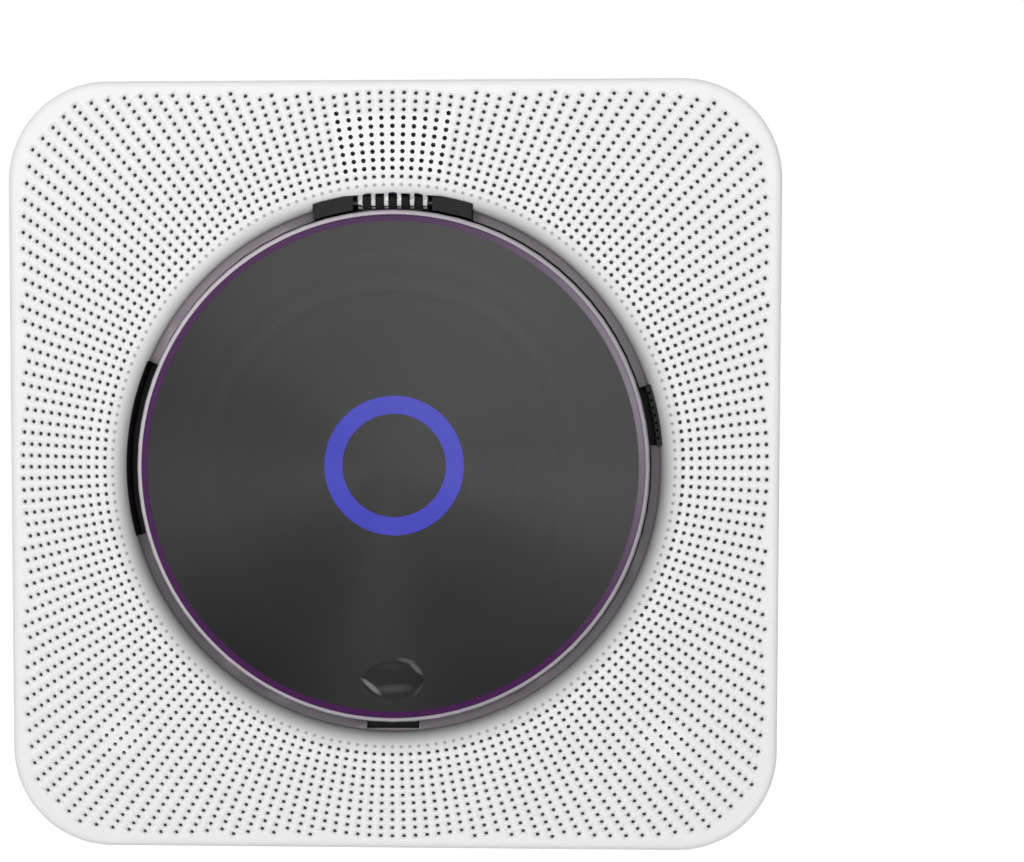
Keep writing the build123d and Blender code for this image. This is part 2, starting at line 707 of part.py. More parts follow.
def front_panel():
    """The perforated square face with its rim, the curved well lip, ledge, bosses and hinge knuckles."""
    cap = front_rounded(layer(rounded_square(0), RIM_BACK_D, CASE_FRONT_D), CASE_EDGE_R)
    cap -= layer(rounded_square(WALL), RIM_BACK_D, PANEL_BACK_D)
    cap -= seam_ribs(RIM_BACK_D, RIM_BACK_D + TONGUE + SEAM_GAP, SEAM_GAP)
    cap -= post(0, 0, FLAT_R + LIP_JOIN, RIM_BACK_D, CASE_FRONT_D, sides=ROUND_SIDES)
    cap += well_lip()
    for x, z in case_screw_places():
        cap += post(x, z, CASE_BOSS_R, PARTING_D, PANEL_BACK_D)
    for x, z, seat, _ in panel_bosses():
        cap += post(x, z, SCREW_BOSS_R, seat, PANEL_BACK_D)
    for x, z, seat, head in panel_bosses():
        cap -= pilot(x, z, head, -1)
    for x, z in case_screw_places():
        tip = CASE_SEAT_D + CASE_SCREW_LENGTH + SHAFT_GAP
        cap -= drilled(x, z, CASE_SCREW_R + RUNNING, PARTING_D, tip, sides=POST_SIDES)
    cap -= sector(LEDGE_R - 1, WELL_R, FINGER_SLOT_ANGLES, LEDGE_BACK_D, LEDGE_D)
    cap -= sector(LEDGE_R - 1, VENT_OUTER_R, VENT_ANGLES, LEDGE_BACK_D, CASE_FRONT_D)
    notch = (-LATCH_NOTCH_HALF, LATCH_NOTCH_HALF)
    cap -= block(notch, (-WELL_R + LATCH_NOTCH_SKIN, LATCH_NOTCH_IN - LEDGE_R), (LEDGE_BACK_D, LEDGE_D))
    cap -= layer(hinge_pocket(0), LEDGE_BACK_D, CASE_FRONT_D)
    for knuckle in panel_knuckles():
        cap += knuckle
    cap -= bore_along_x((-LEAF_HALF, LEAF_HALF), HINGE_Z, HINGE_D, PIN_R + RUNNING)
    return cap - perforation()


def button_xs():
    """Centres of the buttons along the top wall."""
    return [(i - (len(BUTTON_NAMES) - 1) / 2) * KEY_PITCH for i in range(len(BUTTON_NAMES))]


def key_outline(length, width):
    """A button's outline."""
    return cut_corners(length, width, KEY_CORNER)


def key_opening(x):
    """The hole in the top wall for one button."""
    length = KEY_LENGTH + 2 * KEY_GAP
    width = KEY_WIDTH + 2 * KEY_GAP
    sketch = Pos(x, -KEY_D) * key_outline(length, width)
    return extrude(Plane.XY.offset(INNER_HALF - 1) * sketch, WALL + 2)


def side_opening(z, depth, sketch):
    """A hole in the right hand wall; the sketch's x runs along Z and its y along the depth."""
    place = Plane(origin=(INNER_HALF - 1, -depth, z), x_dir=(0, 0, 1), z_dir=(1, 0, 0))
    return extrude(place * sketch, WALL + 2)


def key_board_bracket(side):
    """One of the two brackets under the top wall that the key board slides into."""
    d_span = (KEY_D - KEY_BOARD_WIDTH / 2, KEY_D + KEY_BOARD_WIDTH / 2)
    face = KEY_BOARD_HALF + KEY_BRACKET_GAP
    upright = block((face, face + KEY_BRACKET_T), (KEY_BOARD_Z - BOARD_T, INNER_HALF), d_span)
    foot = block((face - KEY_BRACKET_FOOT, face), (KEY_BOARD_Z - BOARD_T, KEY_BOARD_Z), d_span)
    bracket = upright + foot
    return bracket if side > 0 else mirror(bracket, Plane.YZ)


def case_frame():
    """The middle wall of the case, with tongues into both neighbours and the control openings."""
    frame = layer(rounded_square(0) - rounded_square(WALL), PARTING_D, RIM_BACK_D)
    frame += seam_ribs(PARTING_D - TONGUE, PARTING_D)
    frame += seam_ribs(RIM_BACK_D, RIM_BACK_D + TONGUE)
    for side in (-1, 1):
        frame += key_board_bracket(side)
    for x in button_xs():
        frame -= key_opening(x)
    for z in JACK_ZS:
        nose = RegularPolygon(JACK_NOSE_R + KEY_GAP, NOSE_SIDES, major_radius=False)
        frame -= side_opening(z, SOCKET_D, nose)
    frame -= side_opening(USB_Z, SOCKET_D, Rectangle(USB_WIDTH + 2 * KEY_GAP, USB_HEIGHT + 2 * KEY_GAP))
    frame -= side_opening(INLET_Z, SOCKET_D, inlet_outline(KEY_GAP))
    slot = Rectangle(POWER_KNOB + POWER_TRAVEL + 4 * KEY_GAP, POWER_KNOB_T + 2 * KEY_GAP)
    return frame - side_opening(POWER_Z, SOCKET_D, slot)


def back_bowl(inset, start):
    """The bowl of the back shell, drawn in by an inset, sloping in from a distance off the wall."""
    back_inset = inset + (TAPER_END_D - start) * BACK_INSET / BACK_TAPER
    slope = sloping_block(back_inset, start, inset, TAPER_END_D)
    return slope + layer(rounded_square(inset), TAPER_END_D, PARTING_D)


def back_shell():
    """The tapered rear half: bracket recess, screw sockets, board posts, feet seats and vents."""
    shell = back_bowl(0, BACK_FACE_D) - back_bowl(WALL, WALL_IN_D)
    shell -= seam_ribs(PARTING_D - TONGUE - SEAM_GAP, PARTING_D, SEAM_GAP)
    rim = 2 * WALL
    blister = cut_corners(RECESS_WIDTH + rim, RECESS_HEIGHT + rim, RECESS_MARGIN)
    shell += layer(blister, BACK_FACE_D, RECESS_FLOOR_D + WALL)
    socket_r = CASE_HEAD_R + HEAD_GAP
    for x, z in case_screw_places():
        shell += post(x, z, socket_r + CASE_SOCKET_WALL, BACK_FACE_D, CASE_SEAT_D + WALL)
        shell += post(x, z, CASE_BOSS_R, CASE_SEAT_D + WALL, PARTING_D)
    for x, z in main_board_screws():
        shell += post(x, z, SCREW_BOSS_R, WALL_IN_D, MAIN_BOARD_D)
    shell -= layer(cut_corners(RECESS_WIDTH, RECESS_HEIGHT, RECESS_MARGIN), BACK_FACE_D, RECESS_FLOOR_D)
    for x, z in case_screw_places():
        shell -= post(x, z, socket_r, BACK_FACE_D, CASE_SEAT_D)
        shell -= drilled(x, z, CASE_SCREW_R + SHAFT_GAP, CASE_SEAT_D, PARTING_D, sides=POST_SIDES)
    for x, z in main_board_screws():
        shell -= pilot(x, z, MAIN_BOARD_D + BOARD_T, 1)
    for x in (-HOOK_X, HOOK_X):
        slot_x = (x - HOOK_WIDTH / 2 - FIT_GAP, x + HOOK_WIDTH / 2 + FIT_GAP)
        slot_z = (HOOK_Z - HOOK_RISE - HOOK_T, HOOK_Z + HOOK_T + FIT_GAP / 3)
        shell -= block(slot_x, slot_z, (RECESS_FLOOR_D, RECESS_FLOOR_D + WALL))
    for x, z in foot_places():
        shell -= post(x, z, FOOT_R, BACK_FACE_D, BACK_FACE_D + FOOT_SINK, sides=FOOT_SIDES)
    for i in range(BACK_VENTS):
        z = BACK_VENT_Z + (i - (BACK_VENTS - 1) / 2) * BACK_VENT_PITCH
        slot = Pos(0, z) * Rectangle(BACK_VENT_LENGTH, BACK_VENT_WIDTH)
        shell -= layer(slot, BACK_FACE_D, WALL_IN_D)
    return shell


def foot_places():
    """Centres of the four wall pads."""
    return [(x, z) for x in (-FOOT_PLACE, FOOT_PLACE) for z in (-FOOT_PLACE, FOOT_PLACE)]


def wall_feet():
    """Four soft pads that keep the back shell off the wall."""
    return [post(x, z, FOOT_R, 0, BACK_FACE_D + FOOT_SINK, sides=FOOT_SIDES) for x, z in foot_places()]


def wall_bracket():
    """A pressed plate screwed to the wall, with two hooks that the back shell hangs on."""
    plate = cut_corners(BRACKET_WIDTH, BRACKET_HEIGHT, RECESS_MARGIN)
    for x in (-BRACKET_HOLE_X / 2, BRACKET_HOLE_X / 2):
        for z in (-BRACKET_HOLE_Z / 2, BRACKET_HOLE_Z / 2):
            plate -= Pos(x, z) * Circle(BRACKET_HOLE_R)
    bracket = layer(plate, 0, BRACKET_T)
    lip_d = RECESS_FLOOR_D + WALL + FIT_GAP
    for x in (-HOOK_X, HOOK_X):
        x_span = (x - HOOK_WIDTH / 2, x + HOOK_WIDTH / 2)
        bracket += block(x_span, (HOOK_Z, HOOK_Z + HOOK_T), (BRACKET_T, lip_d + HOOK_T))
        bracket += block(x_span, (HOOK_Z, HOOK_Z + HOOK_RISE), (lip_d, lip_d + HOOK_T))
    return bracket


def case_screws():
    """The long screws that clamp the back shell and the frame to the front panel."""
    size = (CASE_SCREW_R, CASE_SCREW_LENGTH, CASE_HEAD_R, CASE_HEAD_H)
    return [screw(x, z, CASE_SEAT_D, -1, *size) for x, z in case_screw_places()]


def small_screws():
    """Every short screw: deck, display, socket board, speakers, main board and dampers."""
    screws = [small_screw(x, z, head, -1) for x, z, _, head in panel_bosses()]
    screws += [small_screw(x, z, MAIN_BOARD_D + BOARD_T, 1) for x, z in main_board_screws()]
    screws += [small_screw(x, z, CHASSIS_BACK_D - DAMPER_LOWER, -1) for x, z in DAMPER_PLACES]
    return screws


# ---- Well, cover and hinge -------------------------------------------------------------------


def vent_insert():
    """The ribbed black insert let into the right hand wall of the well."""
    start, end = VENT_ANGLES
    angles = (start + VENT_MARGIN, end - VENT_MARGIN)
    insert = sector(VENT_INNER_R, VENT_OUTER_R - PRESS_GAP, angles, LEDGE_BACK_D, VENT_TOP_D)
    step = (end - start) / VENT_RIBS
    across = (-VENT_GROOVE / 2, VENT_GROOVE / 2)
    for i in range(1, VENT_RIBS):
        groove = block((VENT_INNER_R - 1, VENT_INNER_R + VENT_GROOVE), across, (LEDGE_D, VENT_TOP_D))
        insert -= turn_to(start + i * step, groove)
    return insert


def skirt_place():
    """Where the lid switch pin meets the cover's skirt."""
    return polar(SKIRT_MID_R, SWITCH_ANGLE)


def disc_deck():
    """The black cup that forms the floor and wall of the disc well, with posts for the mechanism."""
    wall_outer = DECK_WALL_R + DECK_WALL_T
    deck = hoop(DECK_HOLE_R, wall_outer, DECK_BACK_D, DECK_FLOOR_D, DECK_SIDES)
    deck += hoop(DECK_WALL_R, wall_outer, DECK_BACK_D, LEDGE_BACK_D, DECK_SIDES)
    for angle in DECK_EAR_ANGLES:
        x, z = polar(DECK_EAR_R, angle)
        d_span = (LEDGE_BACK_D - DECK_WALL_T, LEDGE_BACK_D)
        bridge = block((DECK_WALL_R + DECK_WALL_T / 2, DECK_EAR_R), (-SCREW_BOSS_R, SCREW_BOSS_R), d_span)
        deck += turn_to(angle, bridge) + post(x, z, SCREW_BOSS_R, *d_span)
    for x, z in DAMPER_PLACES:
        deck += post(x, z, DAMPER_POST_R, CHASSIS_BACK_D - DAMPER_LOWER, DECK_BACK_D)
    x, z = skirt_place()
    boss_top = DECK_FLOOR_D + SWITCH_BOSS_H
    deck += post(x, z, SWITCH_BOSS_R, DECK_FLOOR_D, boss_top, sides=BORE_SIDES)
    deck -= drilled(x, z, SWITCH_PIN_R + PRESS_GAP, DECK_BACK_D, boss_top, sides=BORE_SIDES)
    for angle in DECK_EAR_ANGLES:
        x, z = polar(DECK_EAR_R, angle)
        deck -= drilled(x, z, SCREW_R + SHAFT_GAP, LEDGE_BACK_D - DECK_WALL_T, LEDGE_BACK_D)
    for x, z in DAMPER_PLACES:
        deck -= pilot(x, z, CHASSIS_BACK_D - DAMPER_LOWER, -1)
    for i in range(LED_COUNT):
        deck -= turn_to(led_angle(i), led_block(LED_SIDE / 2 + PRESS_GAP, DECK_BACK_D, DECK_FLOOR_D))
    deck -= layer(lens_slot(), DECK_BACK_D, DECK_FLOOR_D)
    return deck - plunger_shape(PRESS_GAP, DECK_BACK_D, DECK_FLOOR_D)


def lens_slot():
    """The opening in the deck that the lens travels along."""
    start = LENS_REST_X - LENS_HOLDER_WIDTH / 2 - LENS_SLOT_SIDE
    end = LENS_REST_X + SLED_TRAVEL + LENS_HOLDER_WIDTH / 2 + LENS_SLOT_SIDE
    height = LENS_HOLDER_LENGTH + 2 * LENS_SLOT_SIDE / 2
    return Pos((start + end) / 2, LENS_HOLDER_Z) * cut_corners(end - start, height, LENS_SLOT_SIDE)


def led_angle(i):
    """Angle of one lamp under the light ring, clear of the lens slot."""
    return (i + 0.5) * 360 / LED_COUNT


def led_block(half, back, front):
    """A square block on the +X side, under the middle of the light ring."""
    middle = (RING_INNER_R + RING_OUTER_R) / 2
    return block((middle - half, middle + half), (-half, half), (back, front))


def light_ring():
    """The translucent ring about the turntable, bonded to the deck over the lamps."""
    return hoop(RING_INNER_R, RING_OUTER_R, DECK_FLOOR_D, DECK_FLOOR_D + RING_T, RING_SIDES)


def light_ring_board():
    """The ring board under the deck with its small lamps in the deck's windows."""
    inner = DECK_HOLE_R + RING_BOARD_INSET
    outer = RING_OUTER_R + RING_BOARD_MARGIN
    board = hoop(inner, outer, DECK_BACK_D - BOARD_T, DECK_BACK_D, CAN_SIDES)
    for i in range(LED_COUNT):
        board += turn_to(led_angle(i), led_block(LED_SIDE / 2, DECK_BACK_D, DECK_BACK_D + LED_T))
    return board


def scoop():
    """The eye shaped thumb scoop, deepening towards its lower edge."""
    radius = (SCOOP_LENGTH**2 / 4 + SCOOP_HEIGHT**2 / 4) / SCOOP_HEIGHT
    lift = radius - SCOOP_HEIGHT / 2
    eye = Pos(0, SCOOP_Z - lift) * Circle(radius) & Pos(0, SCOOP_Z + lift) * Circle(radius)
    prism = layer(eye, COVER_FRONT_D - SCOOP_DEPTH, COVER_FRONT_D + 1)
    top = SCOOP_Z + SCOOP_HEIGHT / 2
    low = SCOOP_Z - SCOOP_HEIGHT / 2
    floor = Polyline(
        (-COVER_FRONT_D - 1, top),
        (-COVER_FRONT_D + SCOOP_TOP_DEPTH, top),
        (-COVER_FRONT_D + SCOOP_DEPTH, low + SCOOP_HEIGHT / 4),
        (-COVER_FRONT_D + SCOOP_TOP_DEPTH, low),
        (-COVER_FRONT_D - 1, low),
        close=True,
    )
    wedge = extrude(Plane.YZ * make_face(floor), SCOOP_LENGTH, both=True)
    return prism & wedge


def dust_cover():
    """The smoked round cover: a plate with a rounded edge, a skirt and a thumb scoop."""
    cover = post(0, 0, COVER_R, SKIRT_END_D, COVER_FRONT_D, sides=ROUND_SIDES)
    cover = front_rounded(cover, COVER_EDGE_R)
    cover -= post(0, 0, COVER_R - SKIRT_T, SKIRT_END_D, COVER_BACK_D, sides=ROUND_SIDES)
    leaf_gap = (-LEAF_HALF - FIT_GAP, LEAF_HALF + FIT_GAP)
    cover -= block(leaf_gap, (COVER_R - 3 * SKIRT_T, COVER_R + SKIRT_T), (SKIRT_END_D, COVER_BACK_D))
    cover -= keeper_block(RUNNING)
    return cover - scoop()


def keeper_block(gap):
    """The steel strip in the end of the skirt that the latch magnet holds."""
    half_x = PLUNGER_HALF_X + KEEPER_MARGIN + gap
    middle = -SKIRT_MID_R
    reach = SKIRT_T / 2
    z_span = (middle - reach / 2 - gap, middle + reach / 2 + gap)
    return block((-half_x, half_x), z_span, (SKIRT_END_D, SKIRT_END_D + KEEPER_T + gap))


def cover_keeper():
    """The steel strip itself."""
    return keeper_block(0)


def hinge_leaf():
    """The cover's half of the comb hinge: five knuckles on a pad bonded behind the cover."""
    clear_z = HINGE_Z - KNUCKLE_R - LEAF_GAP
    leaf = block((-LEAF_HALF, LEAF_HALF), (LEAF_LOW_Z, clear_z), (COVER_BACK_D - LEAF_T, COVER_BACK_D))
    for i in range(COVER_KNUCKLES):
        x = (i - (COVER_KNUCKLES - 1) / 2) * KNUCKLE_PITCH
        span = (x - KNUCKLE_LENGTH / 2, x + KNUCKLE_LENGTH / 2)
        leaf += barrel_along_x(span, HINGE_Z, HINGE_D, KNUCKLE_R)
        root_d = (HINGE_D - KNUCKLE_R / 2, HINGE_D + KNUCKLE_R / 2)
        leaf += block(span, (clear_z - LEAF_GAP, HINGE_Z), root_d)
    return leaf - bore_along_x((-LEAF_HALF, LEAF_HALF), HINGE_Z, HINGE_D, PIN_R + RUNNING)


def hinge_ears():
    """The two curved ears beside the comb that hold the ends of the hinge pin."""
    arc = hinge_pocket(FIT_GAP)
    ears = []
    for side in (-1, 1):
        middle = side * (EAR_INNER_HALF + HINGE_POCKET_HALF) / 2
        window = Rectangle(HINGE_POCKET_HALF - EAR_INNER_HALF, 2 * HINGE_POCKET_R)
        ear = layer(arc & Pos(middle, HINGE_POCKET_R) * window, LEDGE_BACK_D, COVER_BACK_D)
        ears.append(ear - bore_along_x((-PIN_LENGTH / 2, PIN_LENGTH / 2), HINGE_Z, HINGE_D, PIN_R))
    return ears


def hinge_pin():
    """The steel pin through the comb."""
    return rod_along_x((-PIN_LENGTH / 2, PIN_LENGTH / 2), HINGE_Z, HINGE_D, PIN_R)


def plunger_shape(gap, back, front):
    """The latch plunger's section, grown by a gap, between two depths."""
    half_x = PLUNGER_HALF_X + gap
    half_z = PLUNGER_T / 2 + gap
    return block((-half_x, half_x), (-SKIRT_MID_R - half_z, -SKIRT_MID_R + half_z), (back, front))


def latch_body():
    """The black block of the touch latch on the floor of the well."""
    x_span = (-LATCH_BODY_HALF_X, LATCH_BODY_HALF_X)
    body = block(x_span, (-DECK_WALL_R, -LATCH_BODY_INNER_R), (DECK_FLOOR_D, LATCH_BODY_TOP_D))
    body &= disc(DECK_WALL_R - FIT_GAP, DECK_FLOOR_D, LATCH_BODY_TOP_D)
    return body - plunger_shape(PRESS_GAP, DECK_FLOOR_D, LATCH_BODY_TOP_D)


def latch_plunger():
    """The sprung, magnet tipped plunger; its flange stops under the deck."""
    top = DECK_BACK_D - PRESS_GAP
    flange_z = (-SKIRT_MID_R - PLUNGER_T, -SKIRT_MID_R + PLUNGER_T)
    flange_half = PLUNGER_HALF_X + PLUNGER_FLANGE
    flange = block((-flange_half, flange_half), flange_z, (top - PLUNGER_FLANGE, top))
    return plunger_shape(0, top, PLUNGER_TIP_D) + flange


def lid_switch():
    """The interlock switch under the deck that stops the laser while the cover is open."""
    x, z = skirt_place()
    width, height, depth = SWITCH_BODY
    x_span = (x - width / 2, x + width / 2)
    z_span = (z - height / 2, z + height / 2)
    body = block(x_span, z_span, (DECK_BACK_D - depth, DECK_BACK_D))
    bore_end = DECK_BACK_D - depth + SWITCH_BASE_T
    return body - drilled(x, z, SWITCH_PIN_R + PRESS_GAP, bore_end, DECK_BACK_D, sides=BORE_SIDES)


def lid_switch_pin():
    """The pin that the cover's skirt pushes."""
    x, z = skirt_place()
    low = DECK_BACK_D - SWITCH_BODY[2] + SWITCH_BASE_T + SWITCH_SPRING
    return post(x, z, SWITCH_PIN_R, low, PLUNGER_TIP_D, sides=BORE_SIDES)


# ---- Turntable -------------------------------------------------------------------------------


def claw_block(reach, length, width, thickness):
    """A radial block in the hub on the +X side, centred on the claws' height."""
    middle = PLATTER_D + CLAW_LIFT
    d_span = (middle - thickness / 2, middle + thickness / 2)
    return block((reach - length, reach), (-width / 2, width / 2), d_span)


def claw_angle(i):
    """Direction of one claw."""
    return 90 + i * 360 / CLAW_COUNT


def turntable():
    """The platter with its centring hub and the sleeve pressed on the spindle."""
    sleeve_back = PLATTER_BACK_D - HUB_SLEEVE_LENGTH
    hub = post(0, 0, HUB_R, PLATTER_D, HUB_TOP_D, sides=PLATTER_SIDES)
    hub = chamfer(hub.faces().sort_by(Axis.Y)[0].edges(), HUB_HEIGHT - HUB_STRAIGHT)
    body = post(0, 0, PLATTER_R, PLATTER_BACK_D, PLATTER_D, sides=PLATTER_SIDES) + hub
    body += post(0, 0, HUB_SLEEVE_R, sleeve_back, PLATTER_BACK_D, sides=BARREL_SIDES)
    body -= drilled(0, 0, SPINDLE_R, sleeve_back, SPINDLE_TOP_D, sides=BORE_SIDES)
    length = CLAW_LENGTH + CLAW_TRAVEL + HUB_R - CLAW_REACH + 2 * CLAW_SLOT_OUT
    slot = claw_block(HUB_R + CLAW_SLOT_OUT, length, CLAW_WIDTH + 2 * CLAW_GAP, CLAW_T + 2 * CLAW_GAP)
    for i in range(CLAW_COUNT):
        body -= turn_to(claw_angle(i), slot)
    return body


def turntable_mat():
    """The soft ring that the disc lies on."""
    return hoop(MAT_INNER_R, PLATTER_R - FIT_GAP, PLATTER_D, PLATTER_D + MAT_T, PLATTER_SIDES)


def spindle():
    """The motor's steel shaft, pressed into the turntable."""
    return pillar(0, 0, SPINDLE_R, MOTOR_BACK_D + SPINDLE_FOOT, SPINDLE_TOP_D)


def hub_claw(i):
    """One sprung claw that holds the disc on the hub, with a chamfered nose."""
    claw = claw_block(CLAW_REACH, CLAW_LENGTH, CLAW_WIDTH, CLAW_T)
    claw = chamfer(claw.faces().sort_by(Axis.X)[-1].edges(), CLAW_NOSE)
    return turn_to(claw_angle(i), claw)


# ---- Player mechanism ------------------------------------------------------------------------


def half_tooth(offset):
    """Half the thickness of a tooth, at a distance outside its pitch line."""
    return (math.pi * MODULE / 2 - BACKLASH) / 2 - offset * math.tan(math.radians(PRESSURE_ANGLE))


def gear_outline(teeth, tooth_angle):
    """A straight flanked gear with one tooth at the given angle."""
    pitch_r = MODULE * teeth / 2
    flank = [
        (pitch_r - DEDENDUM, -half_tooth(-DEDENDUM)),
        (pitch_r + ADDENDUM, -half_tooth(ADDENDUM)),
        (pitch_r + ADDENDUM, half_tooth(ADDENDUM)),
        (pitch_r - DEDENDUM, half_tooth(-DEDENDUM)),
    ]
    points = []
    for i in range(teeth):
        for radius, side in flank:
            points.append(polar(radius, tooth_angle + i * 360 / teeth + math.degrees(side / radius)))
    return make_face(Polyline(*points, close=True))


def rack_outline():
    """The rack's bar and teeth, with a gap at the gear's place in the rest position."""
    pitch = math.pi * MODULE
    first = GEAR_X + pitch / 2 - (RACK_TEETH - 1) * pitch
    points = [(first - pitch / 2, RACK_ROOT_Z - RACK_BAR), (first - pitch / 2, RACK_ROOT_Z)]
    for i in range(RACK_TEETH):
        x = first + i * pitch
        points += [(x - half_tooth(-DEDENDUM), RACK_ROOT_Z), (x - half_tooth(ADDENDUM), RACK_Z + ADDENDUM)]
        points += [(x + half_tooth(ADDENDUM), RACK_Z + ADDENDUM), (x + half_tooth(-DEDENDUM), RACK_ROOT_Z)]
    end = first + (RACK_TEETH - 0.5) * pitch
    points += [(end, RACK_ROOT_Z), (end, RACK_ROOT_Z - RACK_BAR)]
    return make_face(Polyline(*points, close=True))


def sled_rack():
    """The toothed bar on the side of the pickup sled."""
    return layer(rack_outline(), GEAR_BACK_D, GEAR_BACK_D + GEAR_T)


def drive_gear():
    """The compound gear: a small pinion in the rack and a large wheel in the motor pinion."""
    small = layer(Pos(GEAR_X, GEAR_Z) * gear_outline(PINION_TEETH, -90), GEAR_BACK_D, DRIVE_BACK_D)
    wheel = Pos(GEAR_X, GEAR_Z) * gear_outline(DRIVE_TEETH, MOTOR_DIRECTION)
    large = layer(wheel, DRIVE_BACK_D, DRIVE_BACK_D + GEAR_T)
    return small + large - pillar(GEAR_X, GEAR_Z, GEAR_POST_R + RUNNING, GEAR_BACK_D, DRIVE_BACK_D + GEAR_T)


def motor_pinion():
    """The sled motor's brass pinion on its shaft."""
    gap_angle = MOTOR_DIRECTION + 180 + 180 / MOTOR_TEETH
    outline = Pos(MOTOR_X, MOTOR_Z) * gear_outline(MOTOR_TEETH, gap_angle)
    pinion = layer(outline, DRIVE_BACK_D, DRIVE_BACK_D + GEAR_T)
    return pinion + pillar(MOTOR_X, MOTOR_Z, SLED_SHAFT_R, MOTOR_BACK_D + SPINDLE_FOOT, DRIVE_BACK_D)


def motor_can(x, z, radius, shaft_r):
    """A flat can motor under the chassis, with a locating boss and a bore for its shaft."""
    can = post(x, z, radius, MOTOR_BACK_D, CHASSIS_BACK_D, sides=CAN_SIDES)
    can = chamfer(can.faces().sort_by(Axis.Y)[-1].edges(), MOTOR_EDGE)
    can += post(x, z, MOTOR_BOSS_R, CHASSIS_BACK_D, CHASSIS_D, sides=BARREL_SIDES)
    return can - drilled(x, z, shaft_r + RUNNING, MOTOR_BACK_D + MOTOR_BASE_T, CHASSIS_D, sides=BORE_SIDES)


def spindle_motor():
    """The motor that turns the disc."""
    return motor_can(0, 0, SPINDLE_MOTOR_R, SPINDLE_R)


def sled_motor():
    """The motor that moves the pickup."""
    return motor_can(MOTOR_X, MOTOR_Z, SLED_MOTOR_R, SLED_SHAFT_R)


def rod_tab_spans():
    """X spans of the tabs that hold the ends of the guide rods."""
    return ((SLOT_START_X - ROD_TAB_T, SLOT_START_X), (SLOT_END_X, SLOT_END_X + ROD_TAB_T))


def mechanism_chassis():
    """The plate that carries motors, rods and gears, hung on the deck by rubber dampers."""
    outline = chamfer(make_face(Polyline(*CHASSIS_OUTLINE, close=True)).vertices(), CHASSIS_CORNER)
    plate = layer(outline, CHASSIS_BACK_D, CHASSIS_D)
    plate -= block((SLOT_START_X, SLOT_END_X), (-SLOT_HALF_Z, SLOT_HALF_Z), (CHASSIS_BACK_D, CHASSIS_D))
    for x, z in DAMPER_PLACES:
        plate -= post(x, z, DAMPER_NECK_R, CHASSIS_BACK_D, CHASSIS_D)
    for x, z in ((0, 0), (MOTOR_X, MOTOR_Z)):
        plate -= drilled(x, z, MOTOR_BOSS_R + RUNNING, CHASSIS_BACK_D, CHASSIS_D, sides=BARREL_SIDES)
    plate += post(GEAR_X, GEAR_Z, GEAR_POST_R, CHASSIS_D, DRIVE_BACK_D + GEAR_T + FIT_GAP, sides=NOSE_SIDES)
    for x_span in rod_tab_spans():
        for side in (-1, 1):
            z_mid = side * ROD_Z
            low = ROD_D - ROD_R - ROD_TAB_WALL
            half = ROD_R + ROD_TAB_WALL
            plate += block(x_span, (z_mid - half, z_mid + half), (low, CHASSIS_BACK_D))
            plate -= block(x_span, (z_mid - ROD_R, z_mid + ROD_R), (low, ROD_D + ROD_R))
    return plate


def guide_rod(side):
    """One of the two rods that the sled slides on."""
    inner, outer = rod_tab_spans()
    return barrel_along_x((inner[0], outer[1]), side * ROD_Z, ROD_D, ROD_R)


def guide_rods():
    """Both rods."""
    return [guide_rod(side) for side in (1, -1)]


def chassis_dampers():
    """Rubber grommets between the chassis and the deck's posts."""
    low = CHASSIS_BACK_D - DAMPER_LOWER
    grommet = post(0, 0, DAMPER_R, low, CHASSIS_BACK_D)
    grommet += post(0, 0, DAMPER_NECK_R, CHASSIS_BACK_D, CHASSIS_D)
    grommet += post(0, 0, DAMPER_R, CHASSIS_D, DECK_BACK_D)
    grommet -= post(0, 0, DAMPER_POST_R, low, DECK_BACK_D)
    return [Pos(x, 0, z) * grommet for x, z in DAMPER_PLACES]


def pickup_sled():
    """The laser carriage: a bored side on one rod, a fork on the other and a raised lens seat."""
    x_span = (LENS_REST_X - SLED_BACK, LENS_REST_X + SLED_AHEAD)
    sled = block(x_span, (-SLED_HALF_Z, SLED_HALF_Z), (SLED_BOTTOM_D, SLED_SHOULDER_D))
    arm_x = (x_span[0] + SLED_ARM_INSET[0], x_span[1] - SLED_ARM_INSET[1])
    sled += block(arm_x, (SLED_ARM_LOW_Z, RACK_ROOT_Z - RACK_BAR), (SLED_SHOULDER_D, SLED_TOP_D))
    pin_top = LENS_HOLDER_FRONT_D + LENS_LIFT
    sled += post(LENS_REST_X, LENS_PIN_Z, LENS_PIN_R, SLED_TOP_D, pin_top, sides=BARREL_SIDES)
    sled -= bore_along_x(x_span, ROD_Z, ROD_D, ROD_R + RUNNING)
    fork = (-SLED_HALF_Z, -ROD_Z + ROD_R + RUNNING)
    sled -= block(x_span, fork, (ROD_D - ROD_R - RUNNING, ROD_D + ROD_R + RUNNING))
    return sled


def lens_holder():
    """The lens carrier, free to slide on the sled's pin to focus."""
    d_span = (LENS_HOLDER_BACK_D, LENS_HOLDER_FRONT_D)
    outline = cut_corners(LENS_HOLDER_WIDTH, LENS_HOLDER_LENGTH, LENS_HOLDER_CORNER)
    holder = layer(Pos(LENS_REST_X, LENS_HOLDER_Z) * outline, *d_span)
    return holder - drilled(LENS_REST_X, LENS_PIN_Z, LENS_PIN_R + RUNNING, *d_span, sides=BARREL_SIDES)


def objective_lens():
    """The small domed lens on its holder."""
    front = LENS_HOLDER_FRONT_D + LENS_T
    lens = post(LENS_REST_X, 0, LENS_R, LENS_HOLDER_FRONT_D, front, sides=CAN_SIDES)
    return chamfer(lens.faces().sort_by(Axis.Y)[0].edges(), LENS_T / 2)


# ---- Speakers --------------------------------------------------------------------------------


def at_speaker(side, shape):
    """Moves a shape turned about the origin to one speaker's axis."""
    return Pos(side * SPEAKER_PLACE, 0, -SPEAKER_PLACE) * shape


def drum(radius, back, front):
    """A many sided drum on a speaker's axis."""
    return post(0, 0, radius, back, front, sides=SPEAKER_SIDES)


